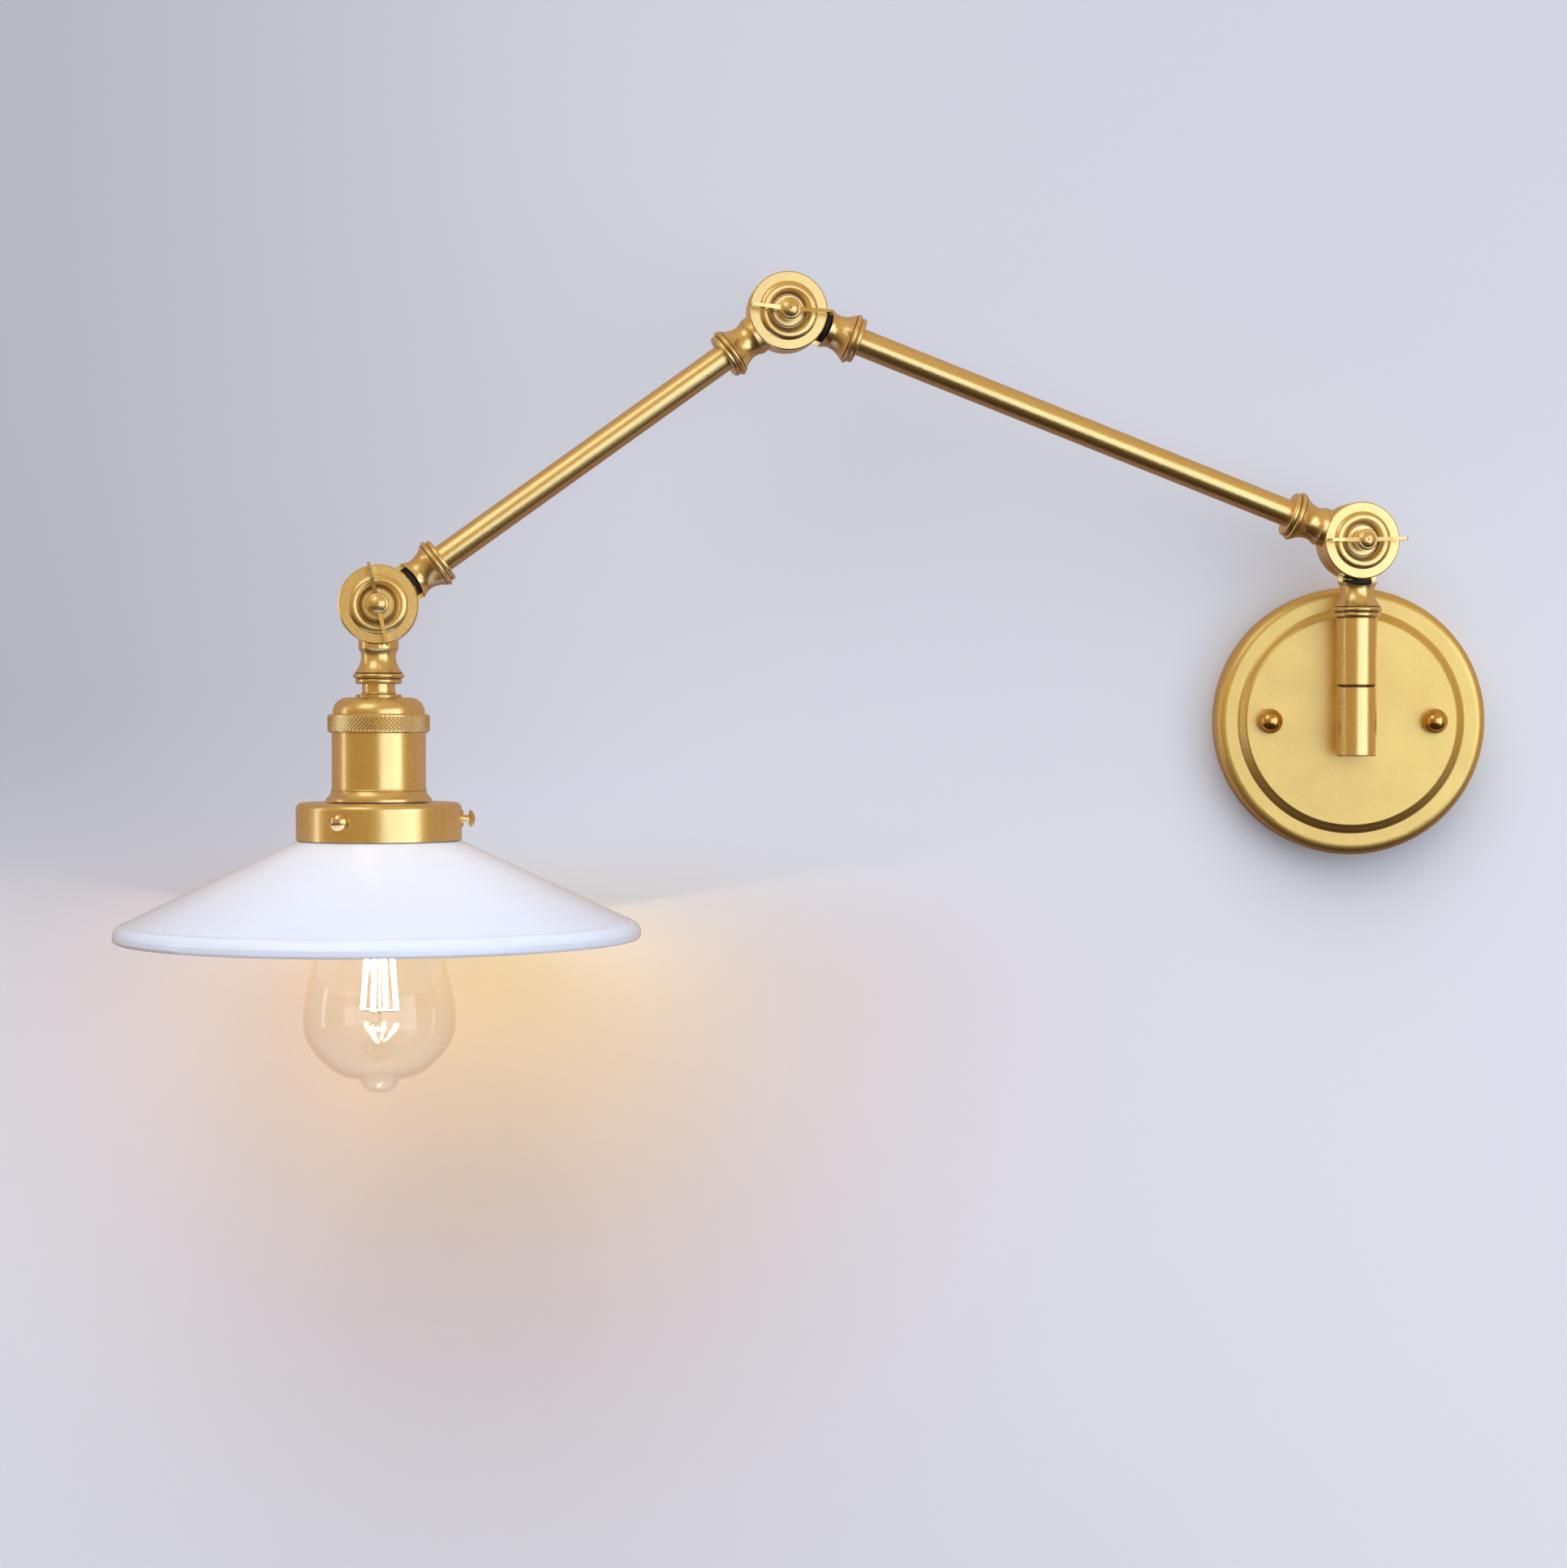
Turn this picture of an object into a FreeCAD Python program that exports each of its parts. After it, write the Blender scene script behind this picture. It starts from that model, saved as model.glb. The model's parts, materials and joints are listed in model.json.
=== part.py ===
import FreeCAD, Part
import math
import os
from FreeCAD import Placement, Rotation, Vector

# Articulating wall lamp in its own frame, in millimetres.
# Origin: centre of the wall plate, on the wall. +X right, +Z up, the room is towards -Y.

# ---- pose at rest -------------------------------------------------------------------
swing_angle = 9.9          # how far the arms stand off the wall, in plan
arm_1_rise = 20.85         # arm 1 above the horizontal
arm_2_fall = 35.9          # arm 2 below the horizontal
arm_1_length = 268.0       # hinge axis to hinge axis
arm_2_length = 213.0
shoulder_height = 78.4     # first hinge axis above the plate centre
post_standoff = 40.0       # post axis from the wall

# ---- clearances ---------------------------------------------------------------------
fixed_gap = 0.03           # round fits between pieces that stay together
running_gap = 0.05         # round fits that turn
face_gap = 0.05            # flat faces that slide on each other
seat_gap = 0.02            # flat faces that are clamped together
cut_over = 1.0             # how far a cut runs past the face it opens

# ---- wall plate and what holds it ---------------------------------------------------
plate_diameter = 118.5
plate_depth = 20.0
plate_wall = 1.2
plate_edge_radius = 4.5
plate_disc_diameter = 91.6
plate_step_width = 4.0
plate_step_height = 3.0

strap_length = 104.0
strap_width = 18.0
strap_thickness = 2.5
strap_centre_hole = 13.0
wall_slot_width = 4.6
wall_slot_length = 14.0
wall_slot_spacing = 40.0
stud_spacing = 72.0
stud_diameter = 4.0
stud_hole_gap = 0.25       # all round a stud in the plate
stud_nut_flats = 7.0
stud_nut_height = 3.2
ball_nut_diameter = 11.0
ball_nut_seat_diameter = 7.0
ball_nut_height = 9.9

earth_screw_offset = 45.0
earth_screw_diameter = 3.5
earth_screw_head = 6.5
earth_screw_head_height = 2.2
earth_screw_slot = 1.0     # width and depth of the driver slot

terminal_width = 26.0
terminal_height = 12.0
terminal_depth = 9.0
terminal_drop = 27.0
terminal_ways = 2

# ---- stub between plate and post ----------------------------------------------------
nipple_diameter = 9.8
nipple_bore = 7.0
nipple_tail = 6.0          # length left free inside the plate, behind the lock nut
stub_collar_diameter = 14.0
lock_washer_diameter = 20.0
lock_washer_thickness = 1.2
lock_nut_flats = 14.0
lock_nut_height = 3.5
supply_lead_stub = 4.0     # straight run of a wire out of the connector block
supply_lead_tail = 1.0     # and its length inside the post
supply_lead_spread = 1.15  # core centre from the bore's middle, in core radii

# ---- post ---------------------------------------------------------------------------
post_diameter = 17.6
post_edge = 0.5
post_drop = 15.2           # lower end of the post below the plate centre
post_split_height = 14.9   # top of the fixed lower post
post_groove = 0.7
post_groove_depth = 1.0
post_flat_depth = 0.65     # flat milled on the back for the stub collar
post_cavity_diameter = 13.2
post_ledge_thickness = 5.0
post_plug_thickness = 3.0
swivel_pin_diameter = 8.0
swivel_pin_bore = 5.2
swivel_pin_engagement = 11.0
swivel_pin_tail = 1.0      # pin below its nut
swivel_nut_flats = 11.0
swivel_nut_height = 3.0
top_nipple_room = 1.0      # free depth below the nipple in the post's head

# ---- knuckles -----------------------------------------------------------------------
disc_diameter = 33.4
disc_half_thickness = 7.4
disc_edge = 0.5
hinge_gap = 0.4
disc_ring_width = 4.2      # flat outer ring of the face
bead_height = 1.2          # raised ring inside it, which falls off steeply to the boss
bead_drop = 1.2            # inner foot of the raised ring below the face
boss_diameter = 13.6
boss_edge = 0.4
boss_groove_width = 0.5
boss_groove_depth = 1.6
boss_sink = 0.2
hub_diameter = 10.4
wire_chamber_diameter = 25.0
wire_chamber_depth = 4.2
relief_gap = 2.7           # clear arc between a disc and the other half's spool

spool_length = 33.2        # hinge axis to the end of the spool
spool_neck_diameter = 16.8
spool_neck_length = 1.6
spool_waist_diameter = 14.5
spool_waist_station = 22.0
spool_flare_diameter = 20.2
spool_line_depth = 0.4     # fine groove where the flare meets the bead
spool_bead_diameter = 21.5
spool_bead_width = 2.4
spool_ring_diameter = 19.5
spool_ring_width = 2.4
spool_groove_depth = 1.0
spool_wire_bore = 9.6
spool_mouth_diameter = 12.8    # wider hollow behind the clear arc
spool_mouth_end = 18.6
spool_mouth_taper = 2.2
tube_socket_depth = 10.0

# ---- hinge screws -------------------------------------------------------------------
hinge_screw_diameter = 4.9
hinge_screw_chamfer = 0.4
hinge_nut_flats = 8.0
hinge_nut_height = 3.4
wing_knob_diameter = 9.2
wing_knob_edge = 1.0       # rounding between the knob's side and its shallow crown
wing_knob_foot = 0.6       # the collar widens to the knob over this height
wing_knob_crown = 1.3
wing_dimple_depth = 0.5
wing_knob_top = 16.4       # top of the knob in front of the hinge's middle plane
wing_collar_diameter = 7.4
wing_collar_height = 1.2
wing_span = 35.6
wing_root_thickness = 2.0
wing_tip_thickness = 1.1
wing_root_height = 4.6
wing_tip_height = 6.6
wing_belly_height = 0.5    # extra height part way along a wing
wing_belly_station = 0.55
wing_tip_rounding = 0.62   # radius at the tip, as a share of its height
wing_root_lift = 0.8       # root above the middle of the knob
wing_lift = 2.6            # how far the wings rise from knob to tip
wing_turn_1 = 1.3
wing_turn_2 = -4.2
wing_turn_3 = 102.6
friction_washer_thickness = 0.3

# ---- arm tubes and the wires in them --------------------------------------------------
tube_diameter = 11.7
tube_wall = 1.0
nipple_wall = 1.5          # threaded tubes that join the tube ends
lead_diameter = 4.2
lead_bend_radius = 5.0

# ---- lamp head, by distance from the third hinge axis ---------------------------------
neck_collar_diameter = 13.8
neck_collar_length = 3.4
neck_ring_diameter = 14.6
neck_ring_length = 0.9
cap_flange_diameter = 19.2
cap_flange_height = 1.2
cap_flange_edge = 0.4
cap_dome_step = 0.2        # from the flange's foot to the dome
cap_shoulder_diameter = 28.0
cap_diameter = 38.4
cap_height = 8.2
cap_wall = 1.4
knurl_diameter = 43.0
knurl_height = 8.0
knurl_edge = 0.6
shell_diameter = 39.3
shell_wall = 1.2
shell_straight = 23.4
skirt_diameter = 44.3
skirt_height = 5.2
skirt_bead = 0.5
skirt_gap = 0.6
neck_nipple_tail = 1.5     # nipple below its nut
neck_nut_flats = 15.0
cap_well_diameter = 18.0   # step inside the cap that the nut sits in
neck_nut_height = 3.0

insulator_diameter = 36.4
insulator_wall = 3.6
insulator_floor = 14.2
insulator_edge = 1.0
insulator_rim_lift = 6.0   # its lower rim above the fitter's
socket_shell_diameter = 28.4
socket_shell_wall = 0.5
socket_shell_lift = 3.0    # its rim above the insulator's
contact_diameter = 8.0
contact_height = 2.4
contact_clearance = 1.5
ring_nut_diameter = 47.0
ring_nut_height = 6.0
ring_nut_edge = 0.8

fitter_diameter = 69.2
fitter_height = 15.6
fitter_wall = 1.2
fitter_edge_radius = 2.6

# ---- shade ----------------------------------------------------------------------------
shade_diameter = 220.0
shade_wall = 3.0
shade_neck_diameter = 61.6
shade_lip_diameter = 64.4
shade_lip_height = 3.0
shade_lip_gap = 1.0
shade_lip_round = 0.8
shade_lip_taper = 1.0      # height from the lip to the neck
shade_shoulder_inset = 0.6     # the cone starts this far inside the fitter's side
shade_shoulder_height = 1.6    # the neck flares into the cone over this height
shade_slope = 25.0
shade_drop = 41.8          # visible height below the fitter
shade_rim_height = 5.4
shade_rim_curl = 4.6
shade_rim_round = 2.2
shade_fitter_gap = 0.4

# ---- shade screws ---------------------------------------------------------------------
shade_screw_count = 3
shade_screw_turn = -25.2   # first screw, from the front of the arm plane
shade_screw_diameter = 3.0
shade_screw_head_diameter = 7.4
shade_screw_head_height = 2.6
shade_screw_shank = 3.2    # bare length outside the fitter
shade_screw_station = 7.0  # below the fitter's top
shade_screw_gap = 0.1      # point to glass
shade_insert_diameter = 7.4
shade_insert_height = 0.6

# ---- bulb -----------------------------------------------------------------------------
bulb_diameter = 64.0
bulb_length = 140.0
bulb_glass_wall = 0.8
bulb_neck_diameter = 33.0
bulb_waist_diameter = 46.4
bulb_waist_height = 39.6   # this far above the widest level the outline is at the waist
bulb_bottom_height = 24.9  # widest level to the lowest point of the main curve
bulb_pip_height = 5.6
bulb_pip_diameter = 17.6
bulb_pip_step = 0.3
bulb_cap_diameter = 26.2
bulb_cap_length = 21.0
bulb_cap_edge = 1.0
bulb_tip_diameter = 9.5
bulb_tip_length = 5.0
filament_count = 4
filament_length = 38.0
filament_diameter = 2.0
filament_ring_top = 9.0
filament_ring_bottom = 15.0
filament_turn = 20.0       # first stick, about the bulb's axis
filament_end_height = 35.0  # lower filament ends above the bulb's lowest point
frame_wire = 1.0
frame_tail = 2.0           # centre rod below the lower star
stem_diameter = 9.0
stem_length = 35.0
stem_gap = 0.1
stem_foot_room = 0.4


# ---- places worked out from the sizes ---------------------------------------------------
disc_radius = disc_diameter / 2
post_radius = post_diameter / 2
plate_front = plate_depth + plate_step_height
half_gap = hinge_gap / 2
upper_post_bottom = post_split_height + post_groove
upper_post_top = shoulder_height - spool_length
tube_entry = spool_length - tube_socket_depth
tube_radius = tube_diameter / 2

shoulder = Vector(0, 0, shoulder_height)
elbow = shoulder + Vector(
    arm_1_length * math.cos(math.radians(arm_1_rise)), 0,
    arm_1_length * math.sin(math.radians(arm_1_rise)))
wrist = elbow + Vector(
    arm_2_length * math.cos(math.radians(arm_2_fall)), 0,
    -arm_2_length * math.sin(math.radians(arm_2_fall)))

cap_top = spool_length + neck_collar_length + neck_ring_length
cap_bottom = cap_top + cap_height
knurl_bottom = cap_bottom + knurl_height
shell_bottom = knurl_bottom + shell_straight + skirt_height
fitter_top = shell_bottom + skirt_gap
fitter_bottom = fitter_top + fitter_height
shade_bottom = fitter_bottom + shade_drop
screw_level = fitter_top + shade_screw_station
insulator_top = cap_bottom + 2 * cap_wall
insulator_bottom = fitter_bottom - insulator_rim_lift
bulb_contact = insulator_top + insulator_floor + contact_height
bulb_end = bulb_contact + bulb_length
bulb_glass_top = bulb_contact + bulb_tip_length + bulb_cap_length
bulb_widest = bulb_end - bulb_pip_height - bulb_bottom_height
stem_top = bulb_glass_top + bulb_glass_wall + stem_gap

X_AXIS = Vector(1, 0, 0)
Y_AXIS = Vector(0, 1, 0)
Z_AXIS = Vector(0, 0, 1)

# The wall frame turns a piece's own Z axis to face the room.
wall_frame = Placement(Vector(), Rotation(X_AXIS, 90))
# The arm frame has X away from the post, Z up and Y to the front of the arms.
arm_frame = Placement(Vector(0, -post_standoff, 0), Rotation(Z_AXIS, 180 + swing_angle))


# ---- helpers ----------------------------------------------------------------------------
def edges_of(start, steps):
    """Edges through (radius, height) points; a step of two points is an arc through the first."""
    def point(pair):
        return Vector(pair[0], 0, pair[1])
    edges = []
    here = start
    for step in steps:
        if isinstance(step[0], tuple):
            through, end = step
            edges.append(Part.Arc(point(here), point(through), point(end)).toShape())
        else:
            end = step
            edges.append(Part.LineSegment(point(here), point(end)).toShape())
        here = end
    if math.hypot(here[0] - start[0], here[1] - start[1]) > 1e-6:
        edges.append(Part.LineSegment(point(here), point(start)).toShape())
    return edges


def positive(shape):
    """The same solid with its faces turned outwards."""
    solid = shape.Solids[0] if shape.ShapeType != "Solid" else shape
    if solid.Volume < 0:
        solid.reverse()
    return solid


def turned(start, *steps):
    """A solid turned about its own Z axis."""
    face = Part.Face(Part.Wire(edges_of(start, steps)))
    return positive(face.revolve(Vector(), Z_AXIS, 360))


def dome(radius, low, high):
    """Arc step from the rim (radius, low) over a spherical cap to its top on the axis."""
    rise = high - low
    ball = (radius ** 2 + rise ** 2) / (2 * rise)
    half = math.atan2(radius, ball - rise) / 2
    return ((ball * math.sin(half), high - ball + ball * math.cos(half)), (0, high))


def turned_edges(edges):
    face = Part.Face(Part.Wire(edges))
    return positive(face.revolve(Vector(), Z_AXIS, 360))


def rod(radius, low, high):
    return Part.makeCylinder(radius, high - low, Vector(0, 0, low))


def pipe(radius, bore_radius, low, high):
    return rod(radius, low, high).cut(rod(bore_radius, low, high))


def chamfered_pipe(radius, bore_radius, low, high, edge):
    return turned(
        (bore_radius, low), (radius - edge, low), (radius, low + edge),
        (radius, high - edge), (radius - edge, high), (bore_radius, high))


def hexagon(flats, low, high):
    radius = flats / math.sqrt(3)
    corners = []
    for index in range(7):
        angle = math.radians(60 * index)
        corners.append(Vector(radius * math.cos(angle), radius * math.sin(angle), low))
    return Part.Face(Part.makePolygon(corners)).extrude(Vector(0, 0, high - low))


def hex_nut(flats, bore_radius, low, high):
    """A hexagon nut with both ends turned down at the corners."""
    bevel = flats / math.sqrt(3) - flats / 2
    crown = chamfered_pipe(flats / math.sqrt(3), bore_radius, low, high, bevel * 0.6)
    return hexagon(flats, low, high).common(crown)


def moved(shape, *placements):
    """The shape carried through the placements, the first one first."""
    result = shape
    for placement in placements:
        result = result.transformed(placement.toMatrix(), True)
    return result


def turn_to_x():
    return Placement(Vector(), Rotation(Y_AXIS, 90))


def turn_to_front():
    return Placement(Vector(), Rotation(X_AXIS, -90))


def spool_frame(hinge, direction):
    """Frame at a hinge whose X axis is the spool's, at an angle above the arm frame's X."""
    return Placement(hinge, Rotation(Y_AXIS, -direction))


def along(shape, hinge, direction):
    """Places a piece turned about Z so that Z runs along the spool at a hinge."""
    return moved(shape, turn_to_x(), spool_frame(hinge, direction), arm_frame)


def across(shape, hinge, direction=0.0):
    """Places a piece turned about Z so that Z is the hinge axis, pointing to the front."""
    return moved(shape, turn_to_front(), spool_frame(hinge, direction), arm_frame)


written = []


def write(name, *solids):
    shape = solids[0] if len(solids) == 1 else Part.makeCompound(list(solids))
    for solid in shape.Solids:
        if not solid.isValid():
            print("INVALID", name)
    if len(shape.Solids) != len(solids):
        print("SOLIDS", name, len(shape.Solids))
    shape.exportStep("parts/" + name + ".step")
    written.append((name, shape))


# ---- wall plate, strap and terminals -------------------------------------------------------
def wall_plate():
    """Pressed canopy: straight rim, rounded edge and a raised disc behind a soft step."""
    outer = plate_diameter / 2
    disc = plate_disc_diameter / 2
    step = disc + plate_step_width
    bend = plate_edge_radius * (1 - math.sqrt(0.5))
    inner_bend = plate_edge_radius - plate_wall
    soft = plate_step_height / 2
    middle = (disc + step) / 2
    bore = nipple_diameter / 2 + fixed_gap
    plate = turned(
        (outer, 0),
        (outer, plate_depth - plate_edge_radius),
        ((outer - bend, plate_depth - bend), (outer - plate_edge_radius, plate_depth)),
        (step, plate_depth),
        ((middle + plate_step_width * 0.28, plate_depth + soft * 0.3),
         (middle, plate_depth + soft)),
        ((disc + plate_step_width * 0.22, plate_front - soft * 0.3), (disc, plate_front)),
        (bore, plate_front),
        (bore, plate_front - plate_wall),
        (disc - plate_wall, plate_front - plate_wall),
        (step - plate_wall, plate_depth - plate_wall),
        (outer - plate_edge_radius, plate_depth - plate_wall),
        ((outer - plate_wall - inner_bend * (1 - math.sqrt(0.5)),
          plate_depth - plate_wall - inner_bend * (1 - math.sqrt(0.5))),
         (outer - plate_wall, plate_depth - plate_edge_radius)),
        (outer - plate_wall, 0))
    for side in (-1, 1):
        hole = rod(stud_diameter / 2 + stud_hole_gap, plate_depth - plate_wall, plate_front + cut_over)
        hole.translate(Vector(side * stud_spacing / 2, 0, 0))
        plate = plate.cut(hole)
    return moved(plate, wall_frame)


def slot_cutter(centre_x, length, width, depth):
    half = (length - width) / 2
    body = Part.makeBox(2 * half, width, depth, Vector(centre_x - half, -width / 2, 0))
    for side in (-1, 1):
        end = Part.makeCylinder(width / 2, depth, Vector(centre_x + side * half, 0, 0))
        body = body.fuse(end)
    return body


def mounting_strap():
    """Flat bar with rounded ends, two wall-screw slots and two tapped holes for the studs."""
    strap = slot_cutter(0, strap_length, strap_width, strap_thickness)
    strap = strap.cut(rod(strap_centre_hole / 2, 0, strap_thickness))
    for side in (-1, 1):
        centre = side * wall_slot_spacing / 2
        strap = strap.cut(slot_cutter(centre, wall_slot_length, wall_slot_width, strap_thickness))
        tapped = rod(stud_diameter / 2 + fixed_gap, 0, strap_thickness)
        tapped.translate(Vector(side * stud_spacing / 2, 0, 0))
        strap = strap.cut(tapped)
    earth = rod(earth_screw_diameter / 2 + fixed_gap, 0, strap_thickness)
    earth.translate(Vector(earth_screw_offset, 0, 0))
    return moved(strap.cut(earth).removeSplitter(), wall_frame)


def pair_at_studs(shape):
    return [moved(shape, Placement(Vector(side * stud_spacing / 2, 0, 0), Rotation()), wall_frame)
            for side in (-1, 1)]


def strap_stud():
    return rod(stud_diameter / 2, 0, plate_front + ball_nut_height * 0.6)


def stud_lock_nut():
    low = strap_thickness + seat_gap
    return hex_nut(stud_nut_flats, stud_diameter / 2 + fixed_gap, low, low + stud_nut_height)


def ball_nut():
    """Domed nut: a short seat, then a ball that the stud screws into."""
    seat = ball_nut_seat_diameter / 2
    ball = ball_nut_diameter / 2
    low = plate_front + seat_gap
    top = low + ball_nut_height
    centre = top - ball
    start_height = centre - math.sqrt(ball ** 2 - seat ** 2)
    nut = turned(
        (0, low), (seat, low), (seat, start_height),
        ((ball, centre), (0, top)))
    hole = rod(stud_diameter / 2 + fixed_gap, low, plate_front + ball_nut_height * 0.7)
    return nut.cut(hole)


def earth_screw():
    """Pan-head screw in the strap, for the earth lead."""
    low = strap_thickness + seat_gap
    head = earth_screw_head / 2
    shank = earth_screw_diameter / 2
    top = low + earth_screw_head_height
    crown = earth_screw_head_height * 0.4
    screw = turned(
        (0, 0), (shank, 0), (shank, low), (head, low), (head, top - crown),
        dome(head, top - crown, top))
    slot = Part.makeBox(
        earth_screw_head, earth_screw_slot, earth_screw_slot,
        Vector(-head, -earth_screw_slot / 2, top - earth_screw_slot))
    place = Placement(Vector(earth_screw_offset, 0, 0), Rotation())
    return moved(screw.cut(slot), place, wall_frame)


def terminal_block():
    """Two-way connector block on the strap's lower edge, with its wire ways and screw wells."""
    low = strap_thickness + seat_gap
    block = Part.makeBox(
        terminal_width, terminal_height, terminal_depth,
        Vector(-terminal_width / 2, -terminal_drop - terminal_height / 2, low))
    vertical = [edge for edge in block.Edges
                if abs(edge.tangentAt(edge.FirstParameter).z) > 0.9]
    block = block.makeFillet(terminal_height * 0.12, vertical)
    foot = Part.makeBox(
        terminal_height, terminal_drop, strap_thickness,
        Vector(-terminal_height / 2, -terminal_drop, low))
    block = block.fuse(foot).removeSplitter()
    pitch = terminal_width / terminal_ways
    for index in range(terminal_ways):
        centre = -terminal_width / 2 + pitch * (index + 0.5)
        way = Part.makeCylinder(
            lead_core_diameter() * 0.75, terminal_height + 2 * cut_over,
            Vector(centre, -terminal_drop - terminal_height / 2 - cut_over,
                   low + terminal_depth * 0.6), Y_AXIS)
        well = Part.makeCylinder(
            pitch * 0.16, terminal_depth * 0.25 + cut_over,
            Vector(centre, -terminal_drop, low + terminal_depth * 0.75))
        block = block.cut(way).cut(well)
    return moved(block, wall_frame)


def lead_core_diameter():
    return lead_diameter / 2


# ---- stub and post --------------------------------------------------------------------------
def post_flat_station():
    """Distance from the wall to the flat on the back of the lower post."""
    return post_standoff - post_radius + post_flat_depth


def stub_nipple():
    """Threaded tube from inside the plate into the back of the lower post."""
    low = plate_front - plate_wall - lock_washer_thickness - lock_nut_height - nipple_tail
    high = post_standoff - post_cavity_diameter / 2
    return moved(pipe(nipple_diameter / 2, nipple_bore / 2, low, high - fixed_gap), wall_frame)


def stub_collar():
    collar = chamfered_pipe(
        stub_collar_diameter / 2, nipple_diameter / 2 + fixed_gap,
        plate_front + seat_gap, post_flat_station() - seat_gap, post_edge)
    return moved(collar, wall_frame)


def nipple_washer():
    high = plate_front - plate_wall - seat_gap
    washer = pipe(lock_washer_diameter / 2, nipple_diameter / 2 + fixed_gap,
                  high - lock_washer_thickness, high)
    return moved(washer, wall_frame)


def nipple_lock_nut():
    high = plate_front - plate_wall - lock_washer_thickness - 2 * seat_gap
    nut = hex_nut(lock_nut_flats, nipple_diameter / 2 + fixed_gap, high - lock_nut_height, high)
    return moved(nut, wall_frame)


def on_post(shape):
    return moved(shape, arm_frame)


def post_lower():
    """Fixed barrel: a bearing ledge for the swivel pin above a cavity for its nut."""
    ledge = post_split_height - post_ledge_thickness
    body = chamfered_pipe(
        post_radius, swivel_pin_diameter / 2 + running_gap,
        -post_drop, post_split_height, post_edge)
    body = body.cut(rod(post_cavity_diameter / 2, -post_drop, ledge))
    body = moved(body, Placement(Vector(0, -post_standoff, 0), Rotation()))
    flat_height = stub_collar_diameter + cut_over
    flat = Part.makeBox(
        post_diameter, post_flat_depth, flat_height,
        Vector(-post_radius, -post_flat_station(), -flat_height / 2))
    entry = Part.makeCylinder(
        nipple_diameter / 2 + fixed_gap, post_radius,
        Vector(0, -post_standoff + post_radius + cut_over, 0), Vector(0, -1, 0))
    return body.cut(flat).cut(entry)


def post_end_cap():
    """Plug pressed into the open lower end of the post."""
    radius = post_cavity_diameter / 2 - fixed_gap
    low = -post_drop
    plug = turned(
        (0, low + post_edge), (radius - 2 * post_edge, low + post_edge),
        (radius - post_edge, low), (radius, low), (radius, low + post_plug_thickness),
        (0, low + post_plug_thickness))
    return moved(plug, Placement(Vector(0, -post_standoff, 0), Rotation()))


def thrust_washer():
    """Slim ring that leaves the dark groove between the two posts."""
    washer = pipe(
        post_radius - post_groove_depth, swivel_pin_diameter / 2 + running_gap,
        post_split_height + seat_gap, upper_post_bottom - face_gap)
    return moved(washer, Placement(Vector(0, -post_standoff, 0), Rotation()))


def post_upper():
    """Barrel that swivels: the pin is fixed in its foot, the knuckle's nipple in its head."""
    socket = upper_post_top - tube_socket_depth
    body = chamfered_pipe(
        post_radius, swivel_pin_diameter / 2 + fixed_gap,
        upper_post_bottom, upper_post_top, post_edge)
    return on_post(body.cut(rod(tube_radius + fixed_gap, socket, upper_post_top)))


def swivel_pin():
    """Hollow pin that hangs through the ledge and carries the nut below it."""
    low = post_split_height - post_ledge_thickness - swivel_nut_height - swivel_pin_tail
    return on_post(pipe(
        swivel_pin_diameter / 2, swivel_pin_bore / 2, low,
        upper_post_bottom + swivel_pin_engagement))


def swivel_nut():
    high = post_split_height - post_ledge_thickness - face_gap
    return on_post(hex_nut(
        swivel_nut_flats, swivel_pin_diameter / 2 + fixed_gap, high - swivel_nut_height, high))


def post_top_nipple():
    return on_post(pipe(
        tube_radius, tube_radius - nipple_wall,
        upper_post_top - tube_socket_depth + top_nipple_room,
        shoulder_height - tube_entry - seat_gap))


# ---- knuckles ---------------------------------------------------------------------------------
def disc_half():
    """One half of a hinge disc, turned about Z with its face at the front.

    The face has a flat outer ring, a raised round bead, a groove and a centre boss.
    Its back has a hub and a ring-shaped chamber that the wires go round in."""
    face = disc_half_thickness
    ring = disc_radius - disc_ring_width
    boss = boss_diameter / 2
    bead_in = boss + boss_groove_width
    bead_mid = (ring + bead_in) / 2
    floor = face - boss_groove_depth
    top = face - boss_sink
    body = turned(
        (0, half_gap), (disc_radius - disc_edge / 2, half_gap),
        (disc_radius, half_gap + disc_edge / 2), (disc_radius, face - disc_edge),
        (disc_radius - disc_edge, face), (ring, face),
        ((bead_mid, face + bead_height), (bead_in, face - bead_drop)),
        (bead_in, floor), (boss, floor), (boss, top - boss_edge), (boss - boss_edge, top),
        (0, top))
    chamber = pipe(
        wire_chamber_diameter / 2, hub_diameter / 2, 0, half_gap + wire_chamber_depth)
    bore = rod(hinge_screw_diameter / 2 + running_gap, 0, face + cut_over)
    return body.cut(chamber).cut(bore)


def spool():
    """The turned arm of a knuckle about Z, from inside the disc to its beaded end."""
    neck = spool_neck_diameter / 2
    waist = spool_waist_diameter / 2
    flare = spool_flare_diameter / 2
    bead = spool_bead_diameter / 2
    ring = spool_ring_diameter / 2
    start = hub_diameter / 2
    neck_end = disc_radius + spool_neck_length
    ring_low = spool_length - spool_ring_width
    bead_low = ring_low - spool_bead_width
    line = spool_line_depth
    quarter = (spool_waist_station + bead_low) / 2
    groove = ring - spool_groove_depth / 2
    return turned(
        (0, start), (neck, start), (neck, neck_end),
        ((waist + (neck - waist) * 0.21, (neck_end + spool_waist_station) / 2),
         (waist, spool_waist_station)),
        ((waist + (flare - waist) * 0.26, quarter), (flare, bead_low)),
        (flare - line, bead_low + line),
        ((bead, bead_low + spool_bead_width * 0.55), (groove, ring_low)),
        ((ring, ring_low + spool_ring_width / 2), (groove, spool_length)),
        (0, spool_length))


def spool_in_place():
    """The spool with its Z axis turned to X, where the hinge axis is Z."""
    return moved(spool(), turn_to_x())


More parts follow.
